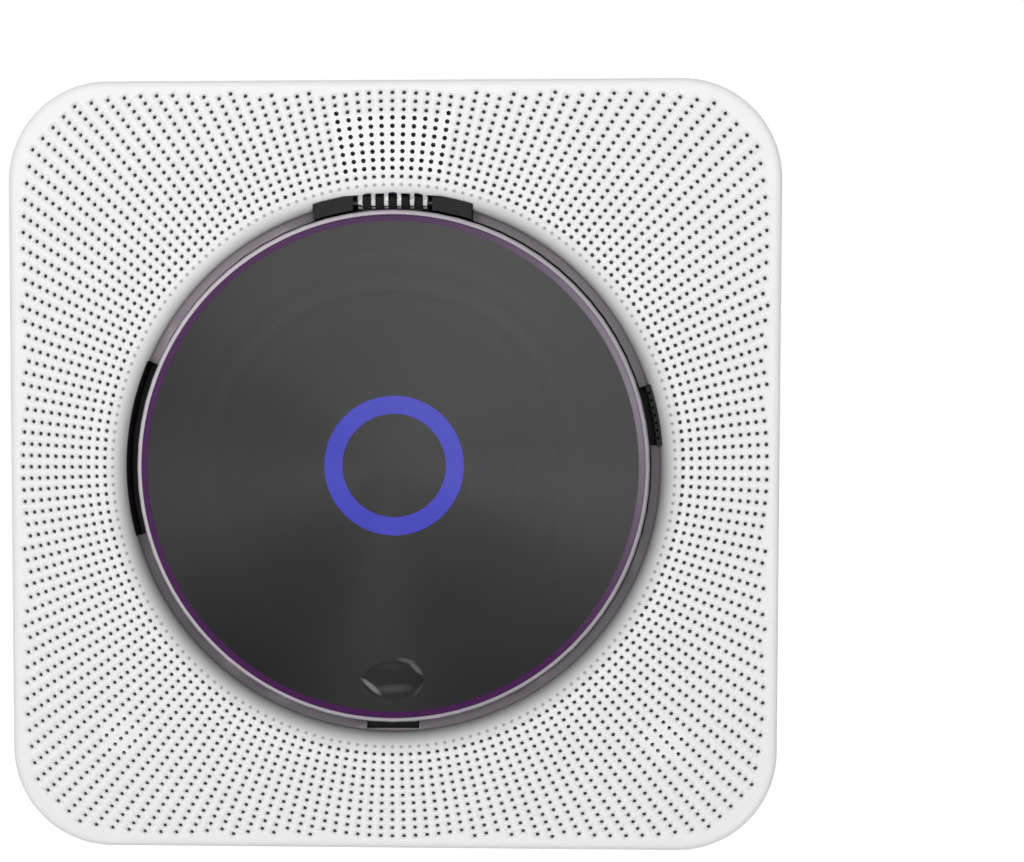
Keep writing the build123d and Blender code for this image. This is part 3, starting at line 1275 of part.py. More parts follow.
def bowl(front_r, back_r, back, front):
    """A drum whose rear is drawn in to a smaller radius, down from a short straight rim."""
    body = drum(front_r, back, front)
    floor = body.faces().sort_by(Axis.Y)[-1]
    return chamfer(floor.edges(), front_r - back_r, front - back - BOWL_RIM, reference=floor)


def speaker_basket(side):
    """The pressed basket with its two ears, and the magnet bonded behind it."""
    low = FLANGE_BACK_D - SPEAKER_BASKET_H
    basket = drum(SPEAKER_FLANGE_R, FLANGE_BACK_D, GASKET_BACK_D)
    basket += bowl(SPEAKER_CONE_R + BASKET_T, SPEAKER_MAGNET_R, low, GASKET_BACK_D)
    basket -= bowl(SPEAKER_CONE_R, SPEAKER_MAGNET_R - BASKET_T, low + BASKET_T, GASKET_BACK_D)
    basket = at_speaker(side, basket)
    ears = [(x, z) for x, z in speaker_ears() if x * side > 0]
    for x, z in ears:
        basket += post(x, z, SCREW_BOSS_R, FLANGE_BACK_D, GASKET_BACK_D)
    for x, z in ears:
        basket -= drilled(x, z, SCREW_R + SHAFT_GAP, FLANGE_BACK_D, GASKET_BACK_D)
    magnet = at_speaker(side, drum(SPEAKER_MAGNET_R, low - SPEAKER_MAGNET_H, low))
    return [basket, magnet]


def speaker_cone(side):
    """The paper cone with its flat rim and dust cap."""
    low = FLANGE_BACK_D - SPEAKER_BASKET_H + CONE_LIFT
    rim_front = GASKET_BACK_D + CONE_T
    cone = bowl(SPEAKER_CONE_R - CONE_GAP, DUST_CAP_R + CONE_GAP, low, rim_front)
    cone += drum(SPEAKER_CONE_R + CONE_RIM, GASKET_BACK_D, rim_front)
    cone -= bowl(SPEAKER_CONE_R - CONE_GAP - CONE_T, DUST_CAP_R, low + CONE_T, rim_front)
    cap = drum(DUST_CAP_R, low + CONE_T, low + DUST_CAP_H)
    return at_speaker(side, cone + cap)


def speaker_gaskets():
    """The foam rings that seal both speakers to the panel."""
    inner = SPEAKER_CONE_R + CONE_RIM + GASKET_GAP
    foam = drum(inner + GASKET_W, GASKET_BACK_D, PANEL_BACK_D) - drum(inner, GASKET_BACK_D, PANEL_BACK_D)
    return [at_speaker(side, foam) for side in (-1, 1)]


# ---- Boards, display, buttons and sockets ----------------------------------------------------


def display_board():
    """The board behind the display window."""
    low = DISPLAY_Z - DISPLAY_HEIGHT / 2 - DISPLAY_BOARD_LOW
    top = DISPLAY_Z + DISPLAY_HEIGHT / 2 + DISPLAY_BOARD_TOP
    board = block(DISPLAY_BOARD_X, (low, top), (DISPLAY_BOARD_D, DISPLAY_BOARD_FRONT_D))
    for x in DISPLAY_SCREWS_X:
        board -= drilled(x, DISPLAY_Z, SCREW_R + SHAFT_GAP, DISPLAY_BOARD_D, DISPLAY_BOARD_FRONT_D)
    return board


def display_module():
    """The black digit display that shines through the perforations."""
    width = DISPLAY_WIDTH / 2 + DISPLAY_CASE_MARGIN
    height = DISPLAY_HEIGHT / 2 + DISPLAY_CASE_MARGIN
    z_span = (DISPLAY_Z - height, DISPLAY_Z + height)
    return block((-width, width), z_span, (DISPLAY_BOARD_FRONT_D, PANEL_BACK_D - DISPLAY_GAP))


def infrared_receiver():
    """The remote control's receiver beside the display."""
    half = RECEIVER_SIDE / 2
    x_span = (RECEIVER_X - half, RECEIVER_X + half)
    face = DISPLAY_BOARD_FRONT_D + RECEIVER_BODY_T
    body = block(x_span, (DISPLAY_Z - half, DISPLAY_Z + half), (DISPLAY_BOARD_FRONT_D, face))
    return body + post(RECEIVER_X, DISPLAY_Z, RECEIVER_R, face, PANEL_BACK_D - FIT_GAP, sides=BORE_SIDES)


def main_board_screws():
    """Centres of the main board's posts."""
    xs = (MAIN_BOARD_X[0] + BOARD_SCREW_INSET, MAIN_BOARD_X[1] - BOARD_SCREW_INSET)
    zs = (MAIN_BOARD_Z[0] + BOARD_SCREW_INSET, MAIN_BOARD_Z[1] - BOARD_SCREW_INSET)
    return [(x, z) for x in xs for z in zs]


def main_board():
    """The board with the decoder and the amplifier."""
    board = block(MAIN_BOARD_X, MAIN_BOARD_Z, (MAIN_BOARD_D, MAIN_BOARD_D + BOARD_T))
    for x, z in main_board_screws():
        board -= drilled(x, z, SCREW_R + SHAFT_GAP, MAIN_BOARD_D, MAIN_BOARD_D + BOARD_T)
    return board


def on_board(x, z, width, height, thickness):
    """A flat component on the main board."""
    face = MAIN_BOARD_D + BOARD_T
    x_span = (x - width / 2, x + width / 2)
    return block(x_span, (z - height / 2, z + height / 2), (face, face + thickness))


def board_components():
    """Chips, a connector and the supply capacitors on the main board."""
    middle = sum(MAIN_BOARD_X) / 2
    chip = on_board(middle, CHIP_Z, CHIP_SIDE, CHIP_SIDE, CHIP_T)
    amplifier = on_board(middle, AMPLIFIER_Z, *AMPLIFIER_SIZE, CHIP_T)
    plug = on_board(MAIN_BOARD_X[1] - PLUG_INSET, 0, *PLUG_SIZE, PLUG_T)
    face = MAIN_BOARD_D + BOARD_T
    can_x = MAIN_BOARD_X[0] + CAPACITOR_INSET
    cans = [post(can_x, z, CAPACITOR_R, face, face + CAPACITOR_H, sides=BORE_SIDES) for z in CAPACITOR_ZS]
    return [chip, amplifier, plug, *cans]


def key_board():
    """The narrow board under the buttons."""
    d_span = (KEY_D - KEY_BOARD_WIDTH / 2, KEY_D + KEY_BOARD_WIDTH / 2)
    return block((-KEY_BOARD_HALF, KEY_BOARD_HALF), (KEY_BOARD_Z, KEY_BOARD_Z + BOARD_T), d_span)


def tact_switches():
    """One small switch under each button."""
    base = KEY_BOARD_Z + BOARD_T
    half = TACT_SIDE / 2
    d_span = (KEY_D - half, KEY_D + half)
    return [block((x - half, x + half), (base, base + TACT_H), d_span) for x in button_xs()]


def button(x):
    """A rounded key that stands proud of the top wall, with a stop flange and a stem."""
    flange_top = INNER_HALF - KEY_GAP
    outline = Pos(x, -KEY_D) * key_outline(KEY_LENGTH, KEY_WIDTH)
    top = HALF_SIDE + KEY_PROUD
    cap = extrude(Plane.XY.offset(flange_top - KEY_FLANGE) * outline, top - flange_top + KEY_FLANGE)
    cap = chamfer(cap.faces().sort_by(Axis.Z)[-1].edges(), KEY_EDGE)
    flange_x = (x - KEY_LENGTH / 2 - KEY_FLANGE, x + KEY_LENGTH / 2 + KEY_FLANGE)
    flange_d = (KEY_D - KEY_WIDTH / 2 - KEY_EDGE, KEY_D + KEY_WIDTH / 2 + KEY_EDGE)
    flange = block(flange_x, (flange_top - KEY_FLANGE, flange_top), flange_d)
    stem_low = KEY_BOARD_Z + BOARD_T + TACT_H + KEY_TRAVEL + PRESS_GAP
    half = KEY_STEM / 2
    stem = block((x - half, x + half), (stem_low, flange_top - KEY_FLANGE), (KEY_D - half, KEY_D + half))
    return cap + flange + stem


def socket_board():
    """The small board that carries the side sockets."""
    board = block(SOCKET_BOARD_X, SOCKET_BOARD_Z, (SOCKET_BOARD_D, SOCKET_BOARD_FRONT_D))
    for z in SOCKET_SCREWS_Z:
        board -= drilled(SOCKET_SCREW_X, z, SCREW_R + SHAFT_GAP, SOCKET_BOARD_D, SOCKET_BOARD_FRONT_D)
    return board


def jack(z):
    """A 3.5 mm socket with a round nose in the side wall."""
    face = INNER_HALF - KEY_GAP
    half = JACK_SIDE / 2
    body = block((face - JACK_LENGTH, face), (z - half, z + half), (SOCKET_D - half, SOCKET_D + half))
    body += barrel_along_x((face, HALF_SIDE - SOCKET_FLUSH), z, SOCKET_D, JACK_NOSE_R, sides=NOSE_SIDES)
    return body - rod_along_x((face - JACK_LENGTH + JACK_BASE_T, HALF_SIDE), z, SOCKET_D, JACK_BORE_R)


def usb_socket():
    """A flat socket for a memory stick: a folded shell round a tongue."""
    end = HALF_SIDE - SOCKET_FLUSH
    half_w = USB_WIDTH / 2
    half_h = USB_HEIGHT / 2
    x_span = (end - USB_LENGTH, end)
    inside = (end - USB_LENGTH + USB_BASE_T, end)
    shell = block(x_span, (USB_Z - half_w, USB_Z + half_w), (SOCKET_D - half_h, SOCKET_BOARD_D))
    inner_w = half_w - USB_SKIN
    inner_h = half_h - USB_SKIN
    shell -= block(inside, (USB_Z - inner_w, USB_Z + inner_w), (SOCKET_D - inner_h, SOCKET_D + inner_h))
    tongue_x = (inside[0], end - USB_TONGUE_BACK)
    tongue_z = (USB_Z - inner_w + USB_TONGUE_GAP, USB_Z + inner_w - USB_TONGUE_GAP)
    return shell + block(tongue_x, tongue_z, (SOCKET_D, SOCKET_D + inner_h - USB_TONGUE_GAP))


def inlet_outline(gap):
    """The supply socket's outline, grown by a gap."""
    return cut_corners(INLET_WIDTH + 2 * gap, INLET_HEIGHT + 2 * gap, INLET_CORNER)


def power_inlet():
    """The small oval supply socket, on a foot that reaches its board."""
    end = HALF_SIDE - SOCKET_FLUSH
    place = Plane(origin=(end - INLET_LENGTH, -SOCKET_D, INLET_Z), x_dir=(0, 0, 1), z_dir=(1, 0, 0))
    shell = extrude(place * inlet_outline(0), INLET_LENGTH)
    shell -= extrude(place.offset(INLET_BASE_T) * inlet_outline(-INLET_SKIN), INLET_LENGTH)
    face = INNER_HALF - KEY_GAP
    foot_d = (SOCKET_D + INLET_HEIGHT / 2, SOCKET_BOARD_D)
    foot_z = (INLET_Z - INLET_FOOT / 2, INLET_Z + INLET_FOOT / 2)
    return shell + block((end - INLET_LENGTH, face), foot_z, foot_d)


def power_slot(gap):
    """Z span of the slide switch's slot."""
    half = (POWER_KNOB + POWER_TRAVEL) / 2 + gap
    return (POWER_Z - half, POWER_Z + half)


def power_switch():
    """The slide switch body with its slot."""
    face = INNER_HALF - KEY_GAP
    half = POWER_LENGTH / 2
    body_d = (SOCKET_D - POWER_BODY_DROP, SOCKET_BOARD_D)
    body = block((face - POWER_BODY_W, face), (POWER_Z - half, POWER_Z + half), body_d)
    slot_d = (SOCKET_D - POWER_KNOB_T / 2 - PRESS_GAP, SOCKET_D + POWER_KNOB_T / 2 + PRESS_GAP)
    return body - block((face - POWER_SLOT_DEPTH, face), power_slot(PRESS_GAP), slot_d)


def power_knob():
    """The sliding knob, at its lower, off end."""
    low, _ = power_slot(0)
    face = INNER_HALF - KEY_GAP
    x_span = (face - POWER_SLOT_DEPTH + 2 * PRESS_GAP, HALF_SIDE + POWER_KNOB_PROUD)
    return block(x_span, (low, low + POWER_KNOB), (SOCKET_D - POWER_KNOB_T / 2, SOCKET_D + POWER_KNOB_T / 2))


# ---- Every sub-part, by its name -------------------------------------------------------------


def all_parts():
    """Each node's name with the solid or solids it holds."""
    parts = {
        "wall_bracket": wall_bracket(),
        "wall_feet": wall_feet(),
        "back_shell": back_shell(),
        "case_frame": case_frame(),
        "front_panel": front_panel(),
        "case_screws": case_screws(),
        "small_screws": small_screws(),
        "disc_deck": disc_deck(),
        "vent_insert": vent_insert(),
        "light_ring": light_ring(),
        "light_ring_board": light_ring_board(),
        "dust_cover": dust_cover(),
        "cover_keeper": cover_keeper(),
        "hinge_leaf": hinge_leaf(),
        "hinge_ears": hinge_ears(),
        "hinge_pin": hinge_pin(),
        "latch_body": latch_body(),
        "latch_plunger": latch_plunger(),
        "lid_switch": lid_switch(),
        "lid_switch_pin": lid_switch_pin(),
        "turntable": turntable(),
        "turntable_mat": turntable_mat(),
        "spindle": spindle(),
        "mechanism_chassis": mechanism_chassis(),
        "chassis_dampers": chassis_dampers(),
        "spindle_motor": spindle_motor(),
        "sled_motor": sled_motor(),
        "motor_pinion": motor_pinion(),
        "drive_gear": drive_gear(),
        "guide_rods": guide_rods(),
        "pickup_sled": pickup_sled(),
        "sled_rack": sled_rack(),
        "lens_holder": lens_holder(),
        "objective_lens": objective_lens(),
        "speaker_gaskets": speaker_gaskets(),
        "display_board": display_board(),
        "display_module": display_module(),
        "infrared_receiver": infrared_receiver(),
        "main_board": main_board(),
        "board_components": board_components(),
        "key_board": key_board(),
        "tact_switches": tact_switches(),
        "socket_board": socket_board(),
        "audio_jacks": [jack(z) for z in JACK_ZS],
        "usb_socket": usb_socket(),
        "power_inlet": power_inlet(),
        "power_switch": power_switch(),
        "power_knob": power_knob(),
    }
    for i in range(CLAW_COUNT):
        parts[f"hub_claw_{i + 1}"] = hub_claw(i)
    for side, name in ((-1, "left"), (1, "right")):
        parts[f"speaker_basket_{name}"] = speaker_basket(side)
        parts[f"speaker_cone_{name}"] = speaker_cone(side)
    for name, x in zip(BUTTON_NAMES, button_xs()):
        parts[f"button_{name}"] = button(x)
    return parts


def save(name, shape):
    """Writes one node as a STEP file of its solids."""
    pieces = shape if isinstance(shape, list) else [shape]
    solids = [solid for piece in pieces for solid in piece.solids()]
    export_step(Compound(children=solids) if len(solids) > 1 else solids[0], f"parts/{name}.step")


os.makedirs("parts", exist_ok=True)
for part_name, part_shape in all_parts().items():
    save(part_name, part_shape)
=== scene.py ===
# %% [markdown]
# A wall mounted CD player: a square white case with rounded corners, a perforated face
# whose holes run out on rays, and a round well in which the disc lies under a smoked cover.
# The construction model is loaded first, as a fixed frame in metres: x to the right, z up,
# and the wall behind at y = 0, so the front of the case looks along -y.

# %% Load the frame
import json
import math

import bmesh
import bpy
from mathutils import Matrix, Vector


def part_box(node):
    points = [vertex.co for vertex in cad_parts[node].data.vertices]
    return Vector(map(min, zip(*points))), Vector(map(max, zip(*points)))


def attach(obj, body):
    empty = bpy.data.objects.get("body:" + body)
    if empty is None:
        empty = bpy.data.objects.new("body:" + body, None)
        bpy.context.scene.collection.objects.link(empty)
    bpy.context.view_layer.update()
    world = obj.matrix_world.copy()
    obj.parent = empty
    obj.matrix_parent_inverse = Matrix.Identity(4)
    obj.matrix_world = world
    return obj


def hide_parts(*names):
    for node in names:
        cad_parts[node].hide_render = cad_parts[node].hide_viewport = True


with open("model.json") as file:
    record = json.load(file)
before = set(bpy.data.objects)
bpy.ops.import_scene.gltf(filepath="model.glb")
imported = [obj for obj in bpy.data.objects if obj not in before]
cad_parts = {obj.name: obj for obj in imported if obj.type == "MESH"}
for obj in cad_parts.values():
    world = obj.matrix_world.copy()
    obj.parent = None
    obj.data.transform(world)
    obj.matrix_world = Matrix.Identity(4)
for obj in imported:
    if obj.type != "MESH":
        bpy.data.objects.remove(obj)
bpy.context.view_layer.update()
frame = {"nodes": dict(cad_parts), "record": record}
nodes = frame["nodes"]
MM = 0.001
print("pieces in the frame:", len(nodes))

# %% [markdown]
# The camera stands almost straight in front, a little to the right and a little above, and
# quite near, so the left and lower edges come out slightly smaller. A lens shift, and not a
# turn of the camera, puts the player left of the middle of the picture: a turn would make
# the square case lean.

# %% Camera
FRONT_Y = -0.042
FACE_CENTRE = Vector((0, FRONT_Y, 0))


def camera_towards(centre, azimuth, elevation, distance, lens, shift):
    data = bpy.data.cameras.new("camera")
    data.lens = lens
    data.sensor_width = 36
    data.shift_x, data.shift_y = shift
    data.clip_start = 0.01
    camera = bpy.data.objects.new("camera", data)
    bpy.context.scene.collection.objects.link(camera)
    az, el = math.radians(azimuth), math.radians(elevation)
    away = Vector((math.sin(az) * math.cos(el), -math.cos(az) * math.cos(el), math.sin(el)))
    camera.location = centre + distance * away
    camera.rotation_euler = (-away).to_track_quat("-Z", "Y").to_euler()
    return camera


bpy.context.scene.camera = camera_towards(
    FACE_CENTRE, azimuth=2.1, elevation=2.6, distance=0.46, lens=66.0, shift=(0.1168, 0.0357)
)
print("camera at", tuple(round(c, 3) for c in bpy.context.scene.camera.location))

# %% [markdown]
# The player hangs in the open, so the background is plain white paper. Paper lit to full
# white would throw too much light on the white case. So the world is white only for rays
# that come from the camera, a mirror or a window, and a soft grey for the light it gives.

# %% World
def link(tree, source, target):
    tree.links.new(source, target)


def math_node(tree, operation, *inputs, clamp=False):
    node = tree.nodes.new("ShaderNodeMath")
    node.operation = operation
    node.use_clamp = clamp
    for socket, value in zip(node.inputs, inputs):
        if isinstance(value, (int, float)):
            socket.default_value = value
        else:
            link(tree, value, socket)
    return node.outputs[0]


def seen_ray(tree):
    path = tree.nodes.new("ShaderNodeLightPath")
    seen = math_node(tree, "MAXIMUM", path.outputs["Is Camera Ray"], path.outputs["Is Glossy Ray"])
    return math_node(tree, "MAXIMUM", seen, path.outputs["Is Transmission Ray"])


AMBIENT = 0.30
world = bpy.data.worlds.new("studio")
bpy.context.scene.world = world
world.use_nodes = True
tree = world.node_tree
background = tree.nodes["Background"]
background.inputs["Color"].default_value = (1, 1, 1, 1)
strength = math_node(tree, "MULTIPLY_ADD", seen_ray(tree), 1 - AMBIENT, AMBIENT)
link(tree, strength, background.inputs["Strength"])
bpy.context.scene.view_settings.view_transform = "Standard"
print("ambient light:", AMBIENT)

# %% [markdown]
# A wide softbox in front gives most of the light. It stands near the camera's own line, so
# a surface goes darker the more it turns away, and that draws the curve of the well. A
# weaker strip at the upper left gives the smooth rims a thin bright line.

# %% Lamps
def softbox(name, place, width, height, power):
    data = bpy.data.lights.new(name, "AREA")
    data.shape = "RECTANGLE"
    data.size, data.size_y = width, height
    data.energy = power
    lamp = bpy.data.objects.new(name, data)
    lamp.location = place
    lamp.rotation_euler = (FACE_CENTRE - Vector(place)).to_track_quat("-Z", "Y").to_euler()
    bpy.context.scene.collection.objects.link(lamp)
    return lamp


softbox("front_softbox", place=(-0.08, -1.5, 0.30), width=0.7, height=0.7, power=12.6)
softbox("side_strip", place=(-0.5, -0.65, 0.8), width=0.12, height=0.9, power=0.55)

# %% [markdown]
# Under the player lies a large pale floor, which takes its shadow. The floor's own colour is
# nearly white, and a little glow that only a direct look sees lifts it to the white of the
# background, so it has no edge against it.

# %% Floor
def mesh_object(name, bm):
    """The shape in bm, as an object of that name in the scene."""
    mesh = bpy.data.meshes.new(name)
    bm.to_mesh(mesh)
    bm.free()
    made = bpy.data.objects.new(name, mesh)
    bpy.context.scene.collection.objects.link(made)
    return made


FLOOR_Z, FLOOR_HALF = -0.13, 6
bm = bmesh.new()
bmesh.ops.create_grid(bm, x_segments=1, y_segments=1, size=FLOOR_HALF)
bmesh.ops.translate(bm, vec=(0, 0, FLOOR_Z), verts=bm.verts)
floor = mesh_object("floor", bm)

FLOOR_COLOUR = (0.86, 0.86, 0.86, 1)
FLOOR_LIFT = 0.78
paper = bpy.data.materials.new("floor_paper")
paper.use_nodes = True
tree = paper.node_tree
shader = tree.nodes["Principled BSDF"]
shader.inputs["Base Color"].default_value = FLOOR_COLOUR
shader.inputs["Roughness"].default_value = 0.9
shader.inputs["Specular IOR Level"].default_value = 0.0
shader.inputs["Emission Color"].default_value = (1, 1, 1, 1)
lift = math_node(tree, "MULTIPLY", seen_ray(tree), FLOOR_LIFT)
link(tree, lift, shader.inputs["Emission Strength"])
floor.data.materials.append(paper)
print("floor at z =", FLOOR_Z)

# %% [markdown]
# Every finish starts from the same three parts: a colour that varies a little, a roughness
# that varies a little, and a fine relief from a bump. The patterns read Object coordinates,
# which are metres here, so a scale of 4000 gives grains a quarter of a millimetre wide.

# %% Helpers for finishes
def new_finish(name):
    finish = bpy.data.materials.new(name)
    finish.use_nodes = True
    return finish, finish.node_tree, finish.node_tree.nodes["Principled BSDF"]


def object_place(tree):
    return tree.nodes.new("ShaderNodeTexCoord").outputs["Object"]


def noise(tree, place, scale, detail=2.0, stretch=(1, 1, 1)):
    mapping = tree.nodes.new("ShaderNodeMapping")
    mapping.inputs["Scale"].default_value = stretch
    link(tree, place, mapping.inputs["Vector"])
    texture = tree.nodes.new("ShaderNodeTexNoise")
    texture.inputs["Scale"].default_value = scale
    texture.inputs["Detail"].default_value = detail
    link(tree, mapping.outputs["Vector"], texture.inputs["Vector"])
    return texture.outputs["Fac"]


def spread(tree, value, low, high):
    node = tree.nodes.new("ShaderNodeMapRange")
    node.inputs["From Min"].default_value = 0.25
    node.inputs["From Max"].default_value = 0.75
    node.inputs["To Min"].default_value = low
    node.inputs["To Max"].default_value = high
    link(tree, value, node.inputs["Value"])
    return node.outputs["Result"]


def two_colours(tree, factor, first, second):
    node = tree.nodes.new("ShaderNodeMix")
    node.data_type = "RGBA"
    for socket, value in ((0, factor), (6, first), (7, second)):
        if isinstance(value, (tuple, list)):
            node.inputs[socket].default_value = (*value, 1)
        elif isinstance(value, (int, float)):
            node.inputs[socket].default_value = value
        else:
            link(tree, value, node.inputs[socket])
    return node.outputs[2]


def relief(tree, shader, height, distance):
    bump = tree.nodes.new("ShaderNodeBump")
    bump.inputs["Strength"].default_value = 1.0
    bump.inputs["Distance"].default_value = distance
    link(tree, height, bump.inputs["Height"])
    link(tree, bump.outputs["Normal"], shader.inputs["Normal"])


def grained(name, low, high, rough, grain, depth, patch=60, gloss=0.5):
    """A moulded or coated finish: soft patches of colour from low to high, and a fine grain."""
    finish, tree, shader = new_finish(name)
    place = object_place(tree)
    patches = noise(tree, place, patch, detail=3)
    colour = two_colours(tree, spread(tree, patches, 0, 1), low, high)
    link(tree, colour, shader.inputs["Base Color"])
    fine = noise(tree, place, grain, detail=1)
    link(tree, spread(tree, fine, *rough), shader.inputs["Roughness"])
    relief(tree, shader, fine, depth)
    shader.inputs["Specular IOR Level"].default_value = gloss
    return finish


print("helpers ready")

# %% [markdown]
# Moulded plastic is never quite flat: the mould is spark eroded, which leaves a grain of
# about a fifth of a millimetre, and the colour drifts by a shade over the part. Rubber, foam,
# paper cones and lacquered boards differ only in their numbers. The white stays under full
# white, so the lamps have room above it, and the blacks reflect little, so they stay deep.

# %% Plastics
WHITE_LOW, WHITE_HIGH = (0.88, 0.88, 0.877), (0.90, 0.90, 0.897)
WHITE_ROUGH, WHITE_GRAIN, WHITE_RELIEF = (0.42, 0.52), 4500, 0.000012
COATS = {
    "white_plastic": dict(
        low=WHITE_LOW, high=WHITE_HIGH, rough=WHITE_ROUGH, grain=WHITE_GRAIN, depth=WHITE_RELIEF,
    ),
    "black_plastic": dict(
        low=(0.006, 0.006, 0.0065), high=(0.010, 0.010, 0.011),
        rough=(0.42, 0.56), grain=4500, depth=0.000003, gloss=0.1,
    ),
    "grey_plastic": dict(
        low=(0.26, 0.26, 0.27), high=(0.32, 0.32, 0.33),
        rough=(0.35, 0.48), grain=3500, depth=0.000012,
    ),
    "rubber": dict(
        low=(0.022, 0.022, 0.022), high=(0.034, 0.034, 0.034),
        rough=(0.72, 0.86), grain=2500, depth=0.00002, gloss=0.15,
    ),
    "foam": dict(
        low=(0.03, 0.03, 0.03), high=(0.06, 0.06, 0.06),
        rough=(0.9, 0.98), grain=1600, depth=0.00012, patch=900, gloss=0.2,
    ),
    "chip_black": dict(
        low=(0.02, 0.02, 0.022), high=(0.035, 0.035, 0.037),
        rough=(0.55, 0.7), grain=5200, depth=0.000015,
    ),
    "cone_paper": dict(
        low=(0.035, 0.035, 0.036), high=(0.07, 0.07, 0.07),
        rough=(0.75, 0.9), grain=2200, depth=0.00004, patch=1500,
    ),
    "board_green": dict(
        low=(0.012, 0.12, 0.045), high=(0.02, 0.17, 0.06),
        rough=(0.22, 0.32), grain=1800, depth=0.000008, patch=400,
    ),
}
finishes = {name: grained(name, **coat) for name, coat in COATS.items()}
print("moulded and coated finishes:", sorted(finishes))

# %% [markdown]
# Metals differ from plastics in that their colour sits in the reflection. Zinc plated steel
# has soft spangles, and turned brass has fine rings round its own axis, which a noise
# stretched along one direction gives well enough at this size.

# %% Metals
DULL_SHARE = 0.82
METAL_GRAIN = 900


def metal(name, colour, rough, stretch, depth):
    finish, tree, shader = new_finish(name)
    place = object_place(tree)
    grain = noise(tree, place, METAL_GRAIN, detail=3, stretch=stretch)
    dull = tuple(DULL_SHARE * c for c in colour)
    drift = two_colours(tree, spread(tree, grain, 0, 1), dull, colour)
    link(tree, drift, shader.inputs["Base Color"])
    link(tree, spread(tree, grain, *rough), shader.inputs["Roughness"])
    relief(tree, shader, grain, depth)
    shader.inputs["Metallic"].default_value = 1.0
    return finish


finishes["steel"] = metal("steel", (0.58, 0.59, 0.61), (0.24, 0.4), (1, 1, 6), 0.000006)
finishes["brass"] = metal("brass", (0.80, 0.60, 0.28), (0.22, 0.34), (1, 6, 1), 0.000006)
print("metals: steel, brass")

# %% [markdown]
# The display filter and the pickup's lens are the two pieces of glass. The filter is nearly
# black and etched to a satin, so no lamp shows in it through the holes. The lens is clear with
# a faint blue, and it is thin, so a plain see-through shader with a strong gloss stands for it
# without the cost of real refraction.

# %% Glossy pieces
finish, tree, shader = new_finish("display_glass")
place = object_place(tree)
haze = noise(tree, place, 700, detail=2)
filter_black = two_colours(tree, haze, (0.0025, 0.0025, 0.003), (0.006, 0.006, 0.007))
link(tree, filter_black, shader.inputs["Base Color"])
link(tree, spread(tree, haze, 0.26, 0.36), shader.inputs["Roughness"])
shader.inputs["Specular IOR Level"].default_value = 0.12
finishes["display_glass"] = finish

finish, tree, shader = new_finish("lens_clear")
place = object_place(tree)
coating = noise(tree, place, 500, detail=1)
faint_blue = two_colours(tree, coating, (0.55, 0.68, 0.85), (0.75, 0.82, 0.95))
link(tree, faint_blue, shader.inputs["Base Color"])
link(tree, spread(tree, coating, 0.03, 0.08), shader.inputs["Roughness"])
shader.inputs["Alpha"].default_value = 0.4
shader.inputs["Coat Weight"].default_value = 1.0
finishes["lens_clear"] = finish
print("glossy finishes: display_glass, lens_clear")

# %% [markdown]
# The ring round the turntable is a milky guide that six small lamps light from behind, so
# it glows evenly in a deep blue. It is an emission with hardly any drift, and a strong one,
# since it is mostly seen through the smoked cover.

# %% Glowing ring
finish, tree, shader = new_finish("blue_glow")
place = object_place(tree)
drift = noise(tree, place, 120, detail=1)
shader.inputs["Base Color"].default_value = (0.05, 0.05, 0.2, 1)
shader.inputs["Roughness"].default_value = 0.35
glow = two_colours(tree, drift, (0.028, 0.028, 0.57), (0.032, 0.032, 0.63))
link(tree, glow, shader.inputs["Emission Color"])
RING_GLOW = 11.6
shader.inputs["Emission Strength"].default_value = RING_GLOW
finishes["blue_glow"] = finish
print("ring glow:", RING_GLOW)

# %% [markdown]
# The cover is clear plastic with a dark smoke tint and a spun face. On a spun face the light
# gathers in wedges that meet at the middle, like the hands of a clock, because the turning
# marks run round and only some of them face the lamp. That sheen is painted into the colour
# here: one grey at the middle that changes outwards into a base and a few wedges of painted
# sheen, each a cosine raised to a power.

# %% Smoked cover: ways to mask by angle and radius
def angle_round_middle(tree, place):
    parts = tree.nodes.new("ShaderNodeSeparateXYZ")
    link(tree, place, parts.inputs[0])
    return math_node(tree, "ARCTAN2", parts.outputs["Z"], parts.outputs["X"]), parts


def radius_from_middle(tree, parts):
    square = math_node(tree, "MULTIPLY", parts.outputs["X"], parts.outputs["X"])
    both = math_node(tree, "MULTIPLY_ADD", parts.outputs["Z"], parts.outputs["Z"], square)
    return math_node(tree, "SQRT", both)


def wedge(tree, angle, towards, sharpness):
    """1 on the ray at that angle, falling to 0 on the other side, quicker with more sharpness."""
    turned = math_node(tree, "SUBTRACT", angle, math.radians(towards))
    wave = math_node(tree, "COSINE", turned)
    lifted = math_node(tree, "MULTIPLY_ADD", wave, 0.5, 0.5)
    return math_node(tree, "POWER", lifted, sharpness)


def between(tree, value, low, high, soft):
    """1 where the value lies between two limits, with soft edges."""
    step = tree.nodes.new("ShaderNodeMapRange")
    step.interpolation_type = "SMOOTHSTEP"
    step.inputs["From Min"].default_value = low - soft
    step.inputs["From Max"].default_value = low + soft
    link(tree, value, step.inputs["Value"])
    back = tree.nodes.new("ShaderNodeMapRange")
    back.interpolation_type = "SMOOTHSTEP"
    back.inputs["From Min"].default_value = high - soft
    back.inputs["From Max"].default_value = high + soft
    back.inputs["To Min"].default_value = 1
    back.inputs["To Max"].default_value = 0
    link(tree, value, back.inputs["Value"])
    return math_node(tree, "MULTIPLY", step.outputs["Result"], back.outputs["Result"])


print("masks ready")
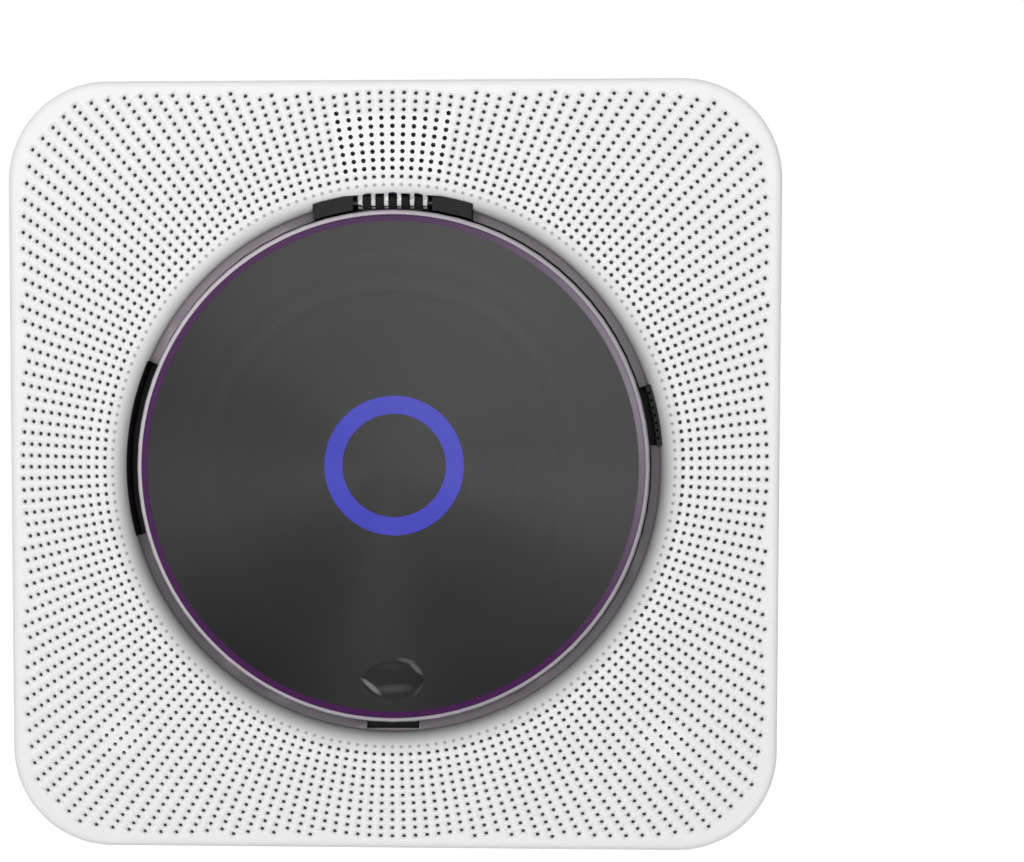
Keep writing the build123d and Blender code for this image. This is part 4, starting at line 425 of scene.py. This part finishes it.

# %% [markdown]
# The tint is a little clearer in the middle, over the glowing ring, and denser outwards, where
# it hides the dark deck. Where it lets more of the deck through, its own shade is lighter, so
# the cover stays even across the change.

# %% Smoked cover: painted sheen and tint
CLEAR_ALPHA, DENSE_ALPHA = 0.75, 0.90
CLEAR_SHADE, DENSE_SHADE = 0.92, 0.785
CLEAR_R, CLEAR_SOFT, UNDER_ZERO = 0.040, 0.008, -0.020
MIDDLE_GREY, BASE_GREY = 0.062, 0.006
GREY_TINT = (1.0, 0.985, 0.985)
SPREAD_R, SPREAD_POWER = 0.058, 0.55
SHEEN_WEDGES = ((45, 1.7, 0.062), (190, 25, 0.034), (350, 50, 0.026), (265, 50, 0.022), (130, 25, 0.012))
finish, tree, shader = new_finish("smoked_cover")
place = object_place(tree)
angle, parts = angle_round_middle(tree, place)
radius = radius_from_middle(tree, parts)
# The wedges are painted sheen: the light on a spun face, put into the cover's grey.
light = BASE_GREY
for towards, sharpness, amount in SHEEN_WEDGES:
    light = math_node(tree, "MULTIPLY_ADD", wedge(tree, angle, towards, sharpness), amount, light)
outwards = math_node(tree, "DIVIDE", radius, SPREAD_R, clamp=True)
share = math_node(tree, "POWER", outwards, SPREAD_POWER)
change = math_node(tree, "SUBTRACT", light, MIDDLE_GREY)
shade = math_node(tree, "MULTIPLY_ADD", change, share, MIDDLE_GREY)
clear = between(tree, radius, UNDER_ZERO, CLEAR_R, CLEAR_SOFT)
cover_shade = math_node(tree, "MULTIPLY_ADD", clear, CLEAR_SHADE - DENSE_SHADE, DENSE_SHADE)
shade = math_node(tree, "MULTIPLY", shade, cover_shade)
grey = tree.nodes.new("ShaderNodeCombineColor")
for socket, tone in zip(grey.inputs, GREY_TINT):
    link(tree, math_node(tree, "MULTIPLY", shade, tone), socket)
alpha = math_node(tree, "MULTIPLY_ADD", clear, CLEAR_ALPHA - DENSE_ALPHA, DENSE_ALPHA)
link(tree, alpha, shader.inputs["Alpha"])
print("cover wedges:", len(SHEEN_WEDGES))

# %% [markdown]
# A fine purple groove runs round the face near its edge, with a pale rim outside it. The
# groove turns pale grey at the right, a painted highlight, and the pale rim is a painted
# highlight on the rounded edge, lightest at the left. In the thumb scoop the edges catch the
# light in a few soft streaks of painted highlight, and each streak is an ellipse that fades
# from its middle.

# %% Smoked cover: groove, rim and thumb scoop
def glint(tree, parts, towards, place_x, place_z, half_length, half_width):
    """A painted highlight where an edge catches light, turned by an angle and fading outwards."""
    turn = math.radians(towards)
    x = math_node(tree, "SUBTRACT", parts.outputs["X"], place_x)
    z = math_node(tree, "SUBTRACT", parts.outputs["Z"], place_z)
    x_along = math_node(tree, "MULTIPLY", x, math.cos(turn))
    along = math_node(tree, "MULTIPLY_ADD", z, math.sin(turn), x_along)
    z_across = math_node(tree, "MULTIPLY", z, math.cos(turn))
    across = math_node(tree, "MULTIPLY_ADD", x, -math.sin(turn), z_across)
    total = math_node(
        tree, "ADD",
        math_node(tree, "POWER", math_node(tree, "DIVIDE", along, half_length), 2),
        math_node(tree, "POWER", math_node(tree, "DIVIDE", across, half_width), 2),
    )
    return math_node(tree, "SUBTRACT", 1, total, clamp=True)


GROOVE_R, RIM_R, LINE_SOFT = (0.0601, 0.0616), (0.0617, 0.0640), 0.0002
GROOVE_PURPLE, GROOVE_SHEEN = (0.052, 0.001, 0.070), (0.24, 0.205, 0.25)
RIM_SHEEN_DIM, RIM_SHEEN_BRIGHT = (0.46, 0.42, 0.47), (0.68, 0.62, 0.68)
# Each streak: angle, place across and up, half length, half width, amount of light.
SCOOP_GLINTS = (
    (-40, -0.0053, -0.0540, 0.0036, 0.0008, 0.24),
    (-45, 0.0058, -0.0493, 0.0026, 0.0008, 0.11),
    (-12, 0.0034, -0.0474, 0.0026, 0.0006, 0.07),
    (3, 0.0004, -0.0545, 0.0058, 0.0012, 0.045),
    (55, 0.0064, -0.0545, 0.0026, 0.0006, 0.035),
    (0, 0.0, -0.0490, 0.0050, 0.0010, 0.010),
)
groove = between(tree, radius, *GROOVE_R, LINE_SOFT)
rim = between(tree, radius, *RIM_R, LINE_SOFT)
# Painted highlights: the groove's pale grey at the right, and the whole pale rim.
groove_and_sheen = two_colours(tree, wedge(tree, angle, 20, 9), GROOVE_PURPLE, GROOVE_SHEEN)
rim_sheen = two_colours(tree, wedge(tree, angle, 155, 2), RIM_SHEEN_DIM, RIM_SHEEN_BRIGHT)
coloured = two_colours(tree, rim, grey.outputs[0], rim_sheen)
coloured = two_colours(tree, groove, coloured, groove_and_sheen)
# The streaks are painted highlights, added to the cover's colour.
catches = 0.0
for *streak, amount in SCOOP_GLINTS:
    catches = math_node(tree, "MULTIPLY_ADD", glint(tree, parts, *streak), amount, catches)
lit = tree.nodes.new("ShaderNodeVectorMath")
lit.operation = "ADD"
link(tree, coloured, lit.inputs[0])
link(tree, catches, lit.inputs[1])
link(tree, lit.outputs["Vector"], shader.inputs["Base Color"])
print("streaks in the scoop:", len(SCOOP_GLINTS))

# %% [markdown]
# The turning marks are too fine to be seen one by one. What shows of them is a slow change of
# gloss along the radius, so a noise that runs only outwards gives that, with hardly any relief.

# %% Smoked cover: turning marks
SPUN_SCALE, SPUN_RELIEF, SPUN_ROUGH = 320, 0.0000004, (0.32, 0.36)
spun = tree.nodes.new("ShaderNodeTexNoise")
spun.noise_dimensions = "1D"
spun.inputs["Scale"].default_value = SPUN_SCALE
link(tree, radius, spun.inputs["W"])
relief(tree, shader, spun.outputs["Fac"], SPUN_RELIEF)
link(tree, spread(tree, spun.outputs["Fac"], *SPUN_ROUGH), shader.inputs["Roughness"])
shader.inputs["Specular IOR Level"].default_value = 0.12
finishes["smoked_cover"] = finish
print("cover finish:", finish.name)

# %% [markdown]
# The front panel has the white plastic of the case, with places of its own round the well. At
# the mouth the white falls off into a soft grey, a painted shade for the little light that
# comes in there. The painted shade is less at the upper left, the upper right and the top. A
# ring of shallow dimples, one on each ray, is painted in as darker spots, a painted shade
# that fades out on the curve of the lip.

# %% Panel white: the lip and its dimples
LIP_DARK_R, LIP_LIGHT_R, LIP_SHADE = 0.0655, 0.0714, 0.31
LEAN_LEFT, LEAN_RIGHT, LEAN_LOW, LEAN_TOP = (135, 8), (50, 10), (285, 3), (90, 40)
LIFT_LEFT, LIFT_RIGHT, LIFT_TOP = 0.8, 0.5, 0.4
DIMPLE_R, DIMPLE_RING, DIMPLE_SHADE, RAYS = 0.00055, 0.0690, 0.6, 200
finish, tree, shader = new_finish("panel_white")
place = object_place(tree)
angle, parts = angle_round_middle(tree, place)
radius = radius_from_middle(tree, parts)
patches = noise(tree, place, 60, detail=3)
white = two_colours(tree, spread(tree, patches, 0, 1), WHITE_LOW, WHITE_HIGH)
# Painted shade: the white falls off towards the mouth, less at the upper left, right and top.
fall = tree.nodes.new("ShaderNodeMapRange")
fall.inputs["From Min"].default_value = LIP_DARK_R
fall.inputs["From Max"].default_value = LIP_LIGHT_R
fall.inputs["To Min"].default_value = LIP_SHADE
link(tree, radius, fall.inputs["Value"])
leans = (LEAN_LEFT, LEAN_RIGHT, LEAN_LOW, LEAN_TOP)
left, right, low, top = (wedge(tree, angle, *lean) for lean in leans)
lift = math_node(tree, "MULTIPLY", right, LIFT_RIGHT)
lift = math_node(tree, "MULTIPLY_ADD", left, LIFT_LEFT, lift)
lift = math_node(tree, "MULTIPLY_ADD", top, LIFT_TOP, lift)
missing = math_node(tree, "SUBTRACT", 1, fall.outputs["Result"])
fallen = math_node(tree, "MULTIPLY_ADD", missing, lift, fall.outputs["Result"])

# Painted shade of the dimples: darker spots on the white, one on each ray.
from_ring = math_node(tree, "DIVIDE", math_node(tree, "SUBTRACT", radius, DIMPLE_RING), DIMPLE_R)
phase = math_node(tree, "COSINE", math_node(tree, "MULTIPLY", angle, RAYS))
ray_scale = 2 * (DIMPLE_RING / RAYS / DIMPLE_R) ** 2
across_ray = math_node(tree, "MULTIPLY", math_node(tree, "SUBTRACT", 1, phase), ray_scale)
away = math_node(tree, "ADD", math_node(tree, "POWER", from_ring, 2), across_ray)
dimple = math_node(tree, "SUBTRACT", 1, away, clamp=True)
dimmed = math_node(tree, "MULTIPLY_ADD", dimple, -DIMPLE_SHADE, 1)
kept = math_node(tree, "MULTIPLY", fallen, dimmed)
print("panel white: dimples on", RAYS, "rays")

# %% [markdown]
# Inside the mouth, the notches between the hinge knuckles are lifted out of the painted shade,
# the middle ones to full white and the others to half. The ledge under the cover's edge is
# painted dark as shade, with a painted mauve highlight, and the edge beside the finger slot is
# painted black as the shade in the slot.

# %% Panel white: notches, ledge and slot edge
def above(tree, value, limit):
    return math_node(tree, "GREATER_THAN", value, limit)


def below(tree, value, limit):
    return math_node(tree, "LESS_THAN", value, limit)


def all_of(tree, *masks):
    result = masks[0]
    for mask in masks[1:]:
        result = math_node(tree, "MULTIPLY", result, mask)
    return result


BLACK, MAUVE, SLOT_SHADE_BLACK = (0.0, 0.0, 0.0), (1.0, 0.89, 1.0), (0.010, 0.010, 0.011)
HINGE_HALF, HINGE_MIDDLE_HALF, HINGE_Z, HINGE_R = 0.0095, 0.0033, 0.0652, 0.0666
LEDGE_R, LEDGE_FRONT, LEDGE_BACK = 0.06592, -0.0384, -0.0365
GLEAM, GLEAM_LEFT, GLEAM_RIGHT, GLEAM_LOW = 0.125, 0.24, 0.14, 0.095
SLOT_R, SLOT_TOWARDS, SLOT_NEAR = 0.0660, 175.9, 0.9719
side = math_node(tree, "ABSOLUTE", parts.outputs["X"])
# The notches are spared the painted shade of the mouth, the outer ones by half.
pocket = all_of(
    tree, below(tree, side, HINGE_HALF), above(tree, parts.outputs["Z"], HINGE_Z),
    below(tree, radius, HINGE_R),
)
brightness = math_node(tree, "MULTIPLY_ADD", below(tree, side, HINGE_MIDDLE_HALF), 0.5, 0.5)
kept = math_node(tree, "MAXIMUM", kept, math_node(tree, "MULTIPLY", pocket, brightness))
faded = two_colours(tree, kept, BLACK, white)
depth = parts.outputs["Y"]
# Painted shade on the ledge under the cover's edge, with a painted mauve highlight.
ledge = all_of(
    tree, below(tree, radius, LEDGE_R), above(tree, depth, LEDGE_FRONT),
    below(tree, depth, LEDGE_BACK),
)
gleam = math_node(tree, "MULTIPLY_ADD", right, GLEAM_RIGHT, GLEAM)
gleam = math_node(tree, "MULTIPLY_ADD", left, GLEAM_LEFT, gleam)
gleam = math_node(tree, "MULTIPLY_ADD", low, GLEAM_LOW, gleam)
faded = two_colours(tree, ledge, faded, two_colours(tree, gleam, BLACK, MAUVE))
# Painted shade: the edge beside the finger slot is black for the shade in the slot.
slot_side = above(tree, wedge(tree, angle, SLOT_TOWARDS, 1), SLOT_NEAR)
beside_slot = all_of(tree, below(tree, radius, SLOT_R), slot_side)
faded = two_colours(tree, beside_slot, faded, SLOT_SHADE_BLACK)
link(tree, faded, shader.inputs["Base Color"])
fine = noise(tree, place, WHITE_GRAIN, detail=1)
link(tree, spread(tree, fine, *WHITE_ROUGH), shader.inputs["Roughness"])
relief(tree, shader, fine, WHITE_RELIEF)
shader.inputs["Specular IOR Level"].default_value = 0.35
finishes["panel_white"] = finish
print("panel white: notches, dark ledge, slot edge")

# %% [markdown]
# Each piece of the frame takes the finish that the record names for it. The curved faces of
# the pieces come in as flat facets, and smooth shading up to a small angle would change
# nothing in their shape, so only the finish is set here. The hinge pin is the one piece with a
# finish of its own: blackened steel, so that it does not flash between the knuckles.

# %% Finishes on the pieces
for entry in frame["record"]["subparts"]:
    piece = nodes[entry["node"]]
    piece.data.materials.clear()
    piece.data.materials.append(finishes[entry["material_slot"]])
blackened = metal("blackened_steel", (0.030, 0.030, 0.032), (0.4, 0.5), (6, 1, 1), 0.000004)
nodes["hinge_pin"].data.materials[0] = blackened

# %% [markdown]
# The face of the case is the player's mark: over 3,100 small holes on 200 rays, at one
# pitch outwards, up to a rounded square near the edge. It could be a pattern in the finish,
# but real holes catch the light and darken properly from the side. A spin turns one row of
# edges into all the cells, each cell is inset and rounded into a hole, and the hole is
# pushed in. The rest of the panel is a copy of the frame's piece without its flat face.

# %% Perforated panel: the copy without its flat face
PITCH = 2.028 * MM
HOLE_R = 0.53 * MM
DISPLAY_HOLE_R = 0.60 * MM
HOLE_DEPTH = 1.1 * MM
PANEL_T = 2.2 * MM
OLD_HOLES_FROM_R, OLD_HOLES_HALF = 0.0705, 0.0925
FIRST_RING, LAST_RING = 35, 58
LIMIT_HALF = 91.45 * MM
LIMIT_CORNER = 24.0 * MM
NEAR = 2e-6


def on_face(vertex):
    return abs(vertex.co.y - FRONT_Y) < NEAR


def in_wall(face):
    """The face belongs to a small open hole through the panel."""
    low, high = FRONT_Y - NEAR, FRONT_Y + PANEL_T + NEAR
    spans = all(low < v.co.y < high for v in face.verts)
    centre = face.calc_center_median()
    radius = math.hypot(centre.x, centre.z)
    inside = max(abs(centre.x), abs(centre.z)) < OLD_HOLES_HALF
    return spans and abs(face.normal.y) < 0.01 and radius > OLD_HOLES_FROM_R and inside


bm = bmesh.new()
bm.from_mesh(nodes["front_panel"].data)
bmesh.ops.remove_doubles(bm, verts=bm.verts, dist=1e-6)
flat = [f for f in bm.faces if all(on_face(v) for v in f.verts)]
tubes = [f for f in bm.faces if in_wall(f)]
bmesh.ops.delete(bm, geom=list(set(flat + tubes)), context="FACES")
print("faces taken off:", len(flat), "flat,", len(tubes), "in old holes")

# %% [markdown]
# The frame's lip and outer edge are built in flats. Their faces are divided and each point
# is set on the true round: for the lip a quarter circle turned round the well, for the edge
# a quarter circle swept along the rounded square.

# %% Perforated panel: round the lip and the outer edge
LIP_FLAT_R, LIP_CURVE_R = 69.6 * MM, 3.8 * MM
LIP_SIDES = 72
EDGE_R = 2.0 * MM
EDGE_STRIP = 0.06 * MM
CASE_HALF, CORNER_R = 94.5 * MM, 24.5 * MM


def on_lip(face):
    middle = face.calc_center_median()
    radius = math.hypot(middle.x, middle.z)
    curved = FRONT_Y - NEAR < middle.y < FRONT_Y + LIP_CURVE_R and face.normal.y < -0.1
    return curved and radius < LIP_FLAT_R


def edge_inset(x, z):
    """How far a point lies inside the case outline, and the direction outwards there."""
    reach = CASE_HALF - CORNER_R
    dx, dz = max(abs(x) - reach, 0), max(abs(z) - reach, 0)
    if dx and dz:
        outwards = Vector((math.copysign(dx, x), 0, math.copysign(dz, z))).normalized()
        return CORNER_R - math.hypot(dx, dz), outwards
    if abs(x) > abs(z):
        return CASE_HALF - abs(x), Vector((math.copysign(1, x), 0, 0))
    return CASE_HALF - abs(z), Vector((0, 0, math.copysign(1, z)))


def on_edge(face):
    middle = face.calc_center_median()
    inset, _ = edge_inset(middle.x, middle.z)
    return middle.y < FRONT_Y + EDGE_R and inset < EDGE_R and face.normal.y < -0.1


def round_lip(vertex):
    x, z = vertex.co.x, vertex.co.z
    half_step = math.pi / LIP_SIDES
    angle = math.atan2(z, x)
    off_flat = (angle % (2 * half_step)) - half_step
    radius = math.hypot(x, z) * math.cos(off_flat) / math.cos(half_step)
    inwards, up = LIP_FLAT_R - radius, FRONT_Y + LIP_CURVE_R - vertex.co.y
    turn = min(max(math.atan2(up, inwards), 0), math.pi / 2)
    radius = LIP_FLAT_R - LIP_CURVE_R * math.cos(turn)
    depth = FRONT_Y + LIP_CURVE_R - LIP_CURVE_R * math.sin(turn)
    vertex.co = Vector((radius * math.cos(angle), depth, radius * math.sin(angle)))


def round_edge(vertex):
    inset, outwards = edge_inset(vertex.co.x, vertex.co.z)
    inwards, up = EDGE_R - inset, FRONT_Y + EDGE_R - vertex.co.y
    turn = min(max(math.atan2(up, inwards), 0), math.pi / 2)
    vertex.co += (inset - EDGE_R * (1 - math.cos(turn))) * outwards
    vertex.co.y = FRONT_Y + EDGE_R * (1 - math.sin(turn))


for picked, move, cuts in ((on_lip, round_lip, 5), (on_edge, round_edge, 4)):
    faces = [f for f in bm.faces if picked(f)]
    edges = list({e for f in faces for e in f.edges})
    bmesh.ops.subdivide_edges(bm, edges=edges, cuts=cuts, use_grid_fill=True)
    bm.normal_update()
    faces = [f for f in bm.faces if picked(f)]
    for vertex in {v for f in faces for v in f.verts}:
        move(vertex)
    print(move.__name__, len(faces), "faces")

# %% [markdown]
# The cells are spun from one row of edges that starts half a step before the first ray, so
# each ray runs through the middle of its cells. Cells outside the rounded square go, and the
# points that would reach past the rounded edge are drawn back onto the flat.

# %% Perforated panel: the cells
def spin_round(bm, row, row_edges, steps):
    """A row of edges turned once round the middle of the well."""
    bmesh.ops.spin(
        bm, geom=row + row_edges, cent=(0, 0, 0), axis=(0, -1, 0), angle=2 * math.pi,
        steps=steps, use_merge=True, use_duplicate=False,
    )


def inside_limit(x, z):
    dx = max(abs(x) - (LIMIT_HALF - LIMIT_CORNER), 0)
    dz = max(abs(z) - (LIMIT_HALF - LIMIT_CORNER), 0)
    return math.hypot(dx, dz) < LIMIT_CORNER and max(abs(x), abs(z)) < LIMIT_HALF


start = math.radians(-0.5 * 360 / RAYS)
row = []
for step in range(FIRST_RING, LAST_RING + 2):
    reach = (step - 0.5) * PITCH
    row.append(bm.verts.new((reach * math.cos(start), FRONT_Y, reach * math.sin(start))))
row_edges = [bm.edges.new(pair) for pair in zip(row, row[1:])]
before = set(bm.faces)
spin_round(bm, row, row_edges, RAYS)
cells = [f for f in bm.faces if f not in before]
middles = {f: f.calc_center_median() for f in cells}
outside = [f for f in cells if not inside_limit(middles[f].x, middles[f].z)]
bmesh.ops.delete(bm, geom=outside, context="FACES")
cells = [f for f in bm.faces if f not in before]
for vertex in {v for f in cells for v in f.verts}:
    inset, outwards = edge_inset(vertex.co.x, vertex.co.z)
    vertex.co -= max(EDGE_R + EDGE_STRIP - inset, 0) * outwards
print("holes:", len(cells))

# %% [markdown]
# The gap between the cells, the inner circle of the well and the outer edge of the flat face
# is one plane with islands in it. A triangle fill takes all the open edges of that plane at
# once and closes it.

# %% Perforated panel: close the flat face
rim = [e for e in bm.edges if e.is_boundary and all(on_face(v) for v in e.verts)]
filled = bmesh.ops.triangle_fill(
    bm, edges=rim, use_beauty=True, use_dissolve=False, normal=(0, -1, 0)
)
made = [g for g in filled["geom"] if isinstance(g, bmesh.types.BMFace)]
print("edges to close:", len(rim), "faces made:", len(made))

# %% [markdown]
# Each cell is inset, the new edges are halved, and the eight points are set on a circle in
# the cell's own directions, along and across its ray. In front of the display the holes are a
# little wider, so the dark window shows.

# %% Perforated panel: round the holes
HOLE_INSET = 0.36 * MM
SAME_LINE = 0.25
SPEAKER_PLACE = 67.0 * MM
SPEAKER_OPENING_R = 5.5 * MM
DISPLAY_HALF = (14.0 * MM, 7.2 * MM)
DISPLAY_Z = 79.0 * MM


def before_display(middle):
    return abs(middle.x) < DISPLAY_HALF[0] and abs(middle.z - DISPLAY_Z) < DISPLAY_HALF[1]


def before_speaker(middle):
    return math.hypot(abs(middle.x) - SPEAKER_PLACE, middle.z + SPEAKER_PLACE) < SPEAKER_OPENING_R


def sign(value):
    return 0 if abs(value) < SAME_LINE else math.copysign(1, value)


bmesh.ops.inset_individual(bm, faces=cells, thickness=HOLE_INSET, use_even_offset=True)
cell_edges = list({e for f in cells for e in f.edges})
bmesh.ops.subdivide_edges(bm, edges=cell_edges, cuts=1)
holes = [f for f in cells if f.is_valid]
for hole in holes:
    middle = hole.calc_center_bounds()
    ray = Vector((middle.x, 0, middle.z)).normalized()
    across = Vector((-ray.z, 0, ray.x))
    reach_out = max(abs((v.co - middle).dot(ray)) for v in hole.verts)
    reach_across = max(abs((v.co - middle).dot(across)) for v in hole.verts)
    hole_r = DISPLAY_HOLE_R if before_display(middle) else HOLE_R
    for vertex in hole.verts:
        offset = vertex.co - middle
        along_part = sign(offset.dot(ray) / reach_out) * ray
        across_part = sign(offset.dot(across) / reach_across) * across
        vertex.co = middle + hole_r * (along_part + across_part).normalized()
print("round holes:", len(holes), "sides:", {len(f.verts) for f in holes})

# %% [markdown]
# Then the small faces go in. Most holes are blind dimples with a floor in painted shade. Only
# those in front of the display and the speakers go right through, and before the display their
# walls take the same painted shade, or the white of the plastic would glow round it.

# %% Perforated panel: depth and finish
SHADE_SLOT = 1
pushed = bmesh.ops.extrude_discrete_faces(bm, faces=holes)["faces"]
centres = {f: f.calc_center_bounds() for f in pushed}
open_ones = [f for f in pushed if before_display(centres[f]) or before_speaker(centres[f])]
blind_ones = [f for f in pushed if f not in set(open_ones)]
# The walls of the holes before the display take the painted shade.
for face in open_ones:
    if before_display(centres[face]):
        for wall in {w for edge in face.edges for w in edge.link_faces}:
            wall.material_index = SHADE_SLOT
for group, depth in ((open_ones, PANEL_T), (blind_ones, HOLE_DEPTH)):
    bmesh.ops.translate(bm, verts=[v for f in group for v in f.verts], vec=(0, depth, 0))
    for face in group:
        face.material_index = SHADE_SLOT
bmesh.ops.delete(bm, geom=open_ones, context="FACES_ONLY")
for face in bm.faces:
    face.smooth = True
perforated = mesh_object("perforated_panel", bm)
mesh = perforated.data
mesh.set_sharp_from_angle(angle=math.radians(32))
mesh.materials.append(finishes["panel_white"])
# The floor of the holes is a painted shade, nearly black.
hole_shade = grained(
    "hole_shade", low=(0.032, 0.032, 0.033), high=(0.046, 0.046, 0.047),
    rough=(0.8, 0.9), grain=3000, depth=0.00001,
)
mesh.materials.append(hole_shade)
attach(perforated, "housing")
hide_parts("front_panel")
mesh.calc_loop_triangles()
print("perforated panel:", len(mesh.loop_triangles), "triangles,", len(open_ones), "open holes")

# %% [markdown]
# The light ring is the roundest thing in view, and the frame has it in twenty-four flats. Its
# section with broken front edges, spun once round the middle, stands for it.

# %% Round light ring
RING_IN, RING_OUT, RING_BREAK, RING_STEPS = 13.0 * MM, 17.5 * MM, 0.2 * MM, 128
front, behind = (corner.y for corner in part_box("light_ring"))
section = ((RING_IN, behind), (RING_IN, front + RING_BREAK), (RING_IN + RING_BREAK, front),
           (RING_OUT - RING_BREAK, front), (RING_OUT, front + RING_BREAK), (RING_OUT, behind))
bm = bmesh.new()
row = [bm.verts.new((reach, depth, 0)) for reach, depth in section]
row_edges = [bm.edges.new(pair) for pair in zip(row, row[1:] + row[:1])]
spin_round(bm, row, row_edges, RING_STEPS)
bmesh.ops.recalc_face_normals(bm, faces=bm.faces)
for face in bm.faces:
    face.smooth = True
ring = mesh_object("round_light_ring", bm)
ring.data.set_sharp_from_angle(angle=math.radians(30))
ring.data.materials.append(finishes["blue_glow"])
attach(ring, "housing")
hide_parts("light_ring")
print("light ring:", len(ring.data.polygons), "faces, depth", round(behind - front, 4))
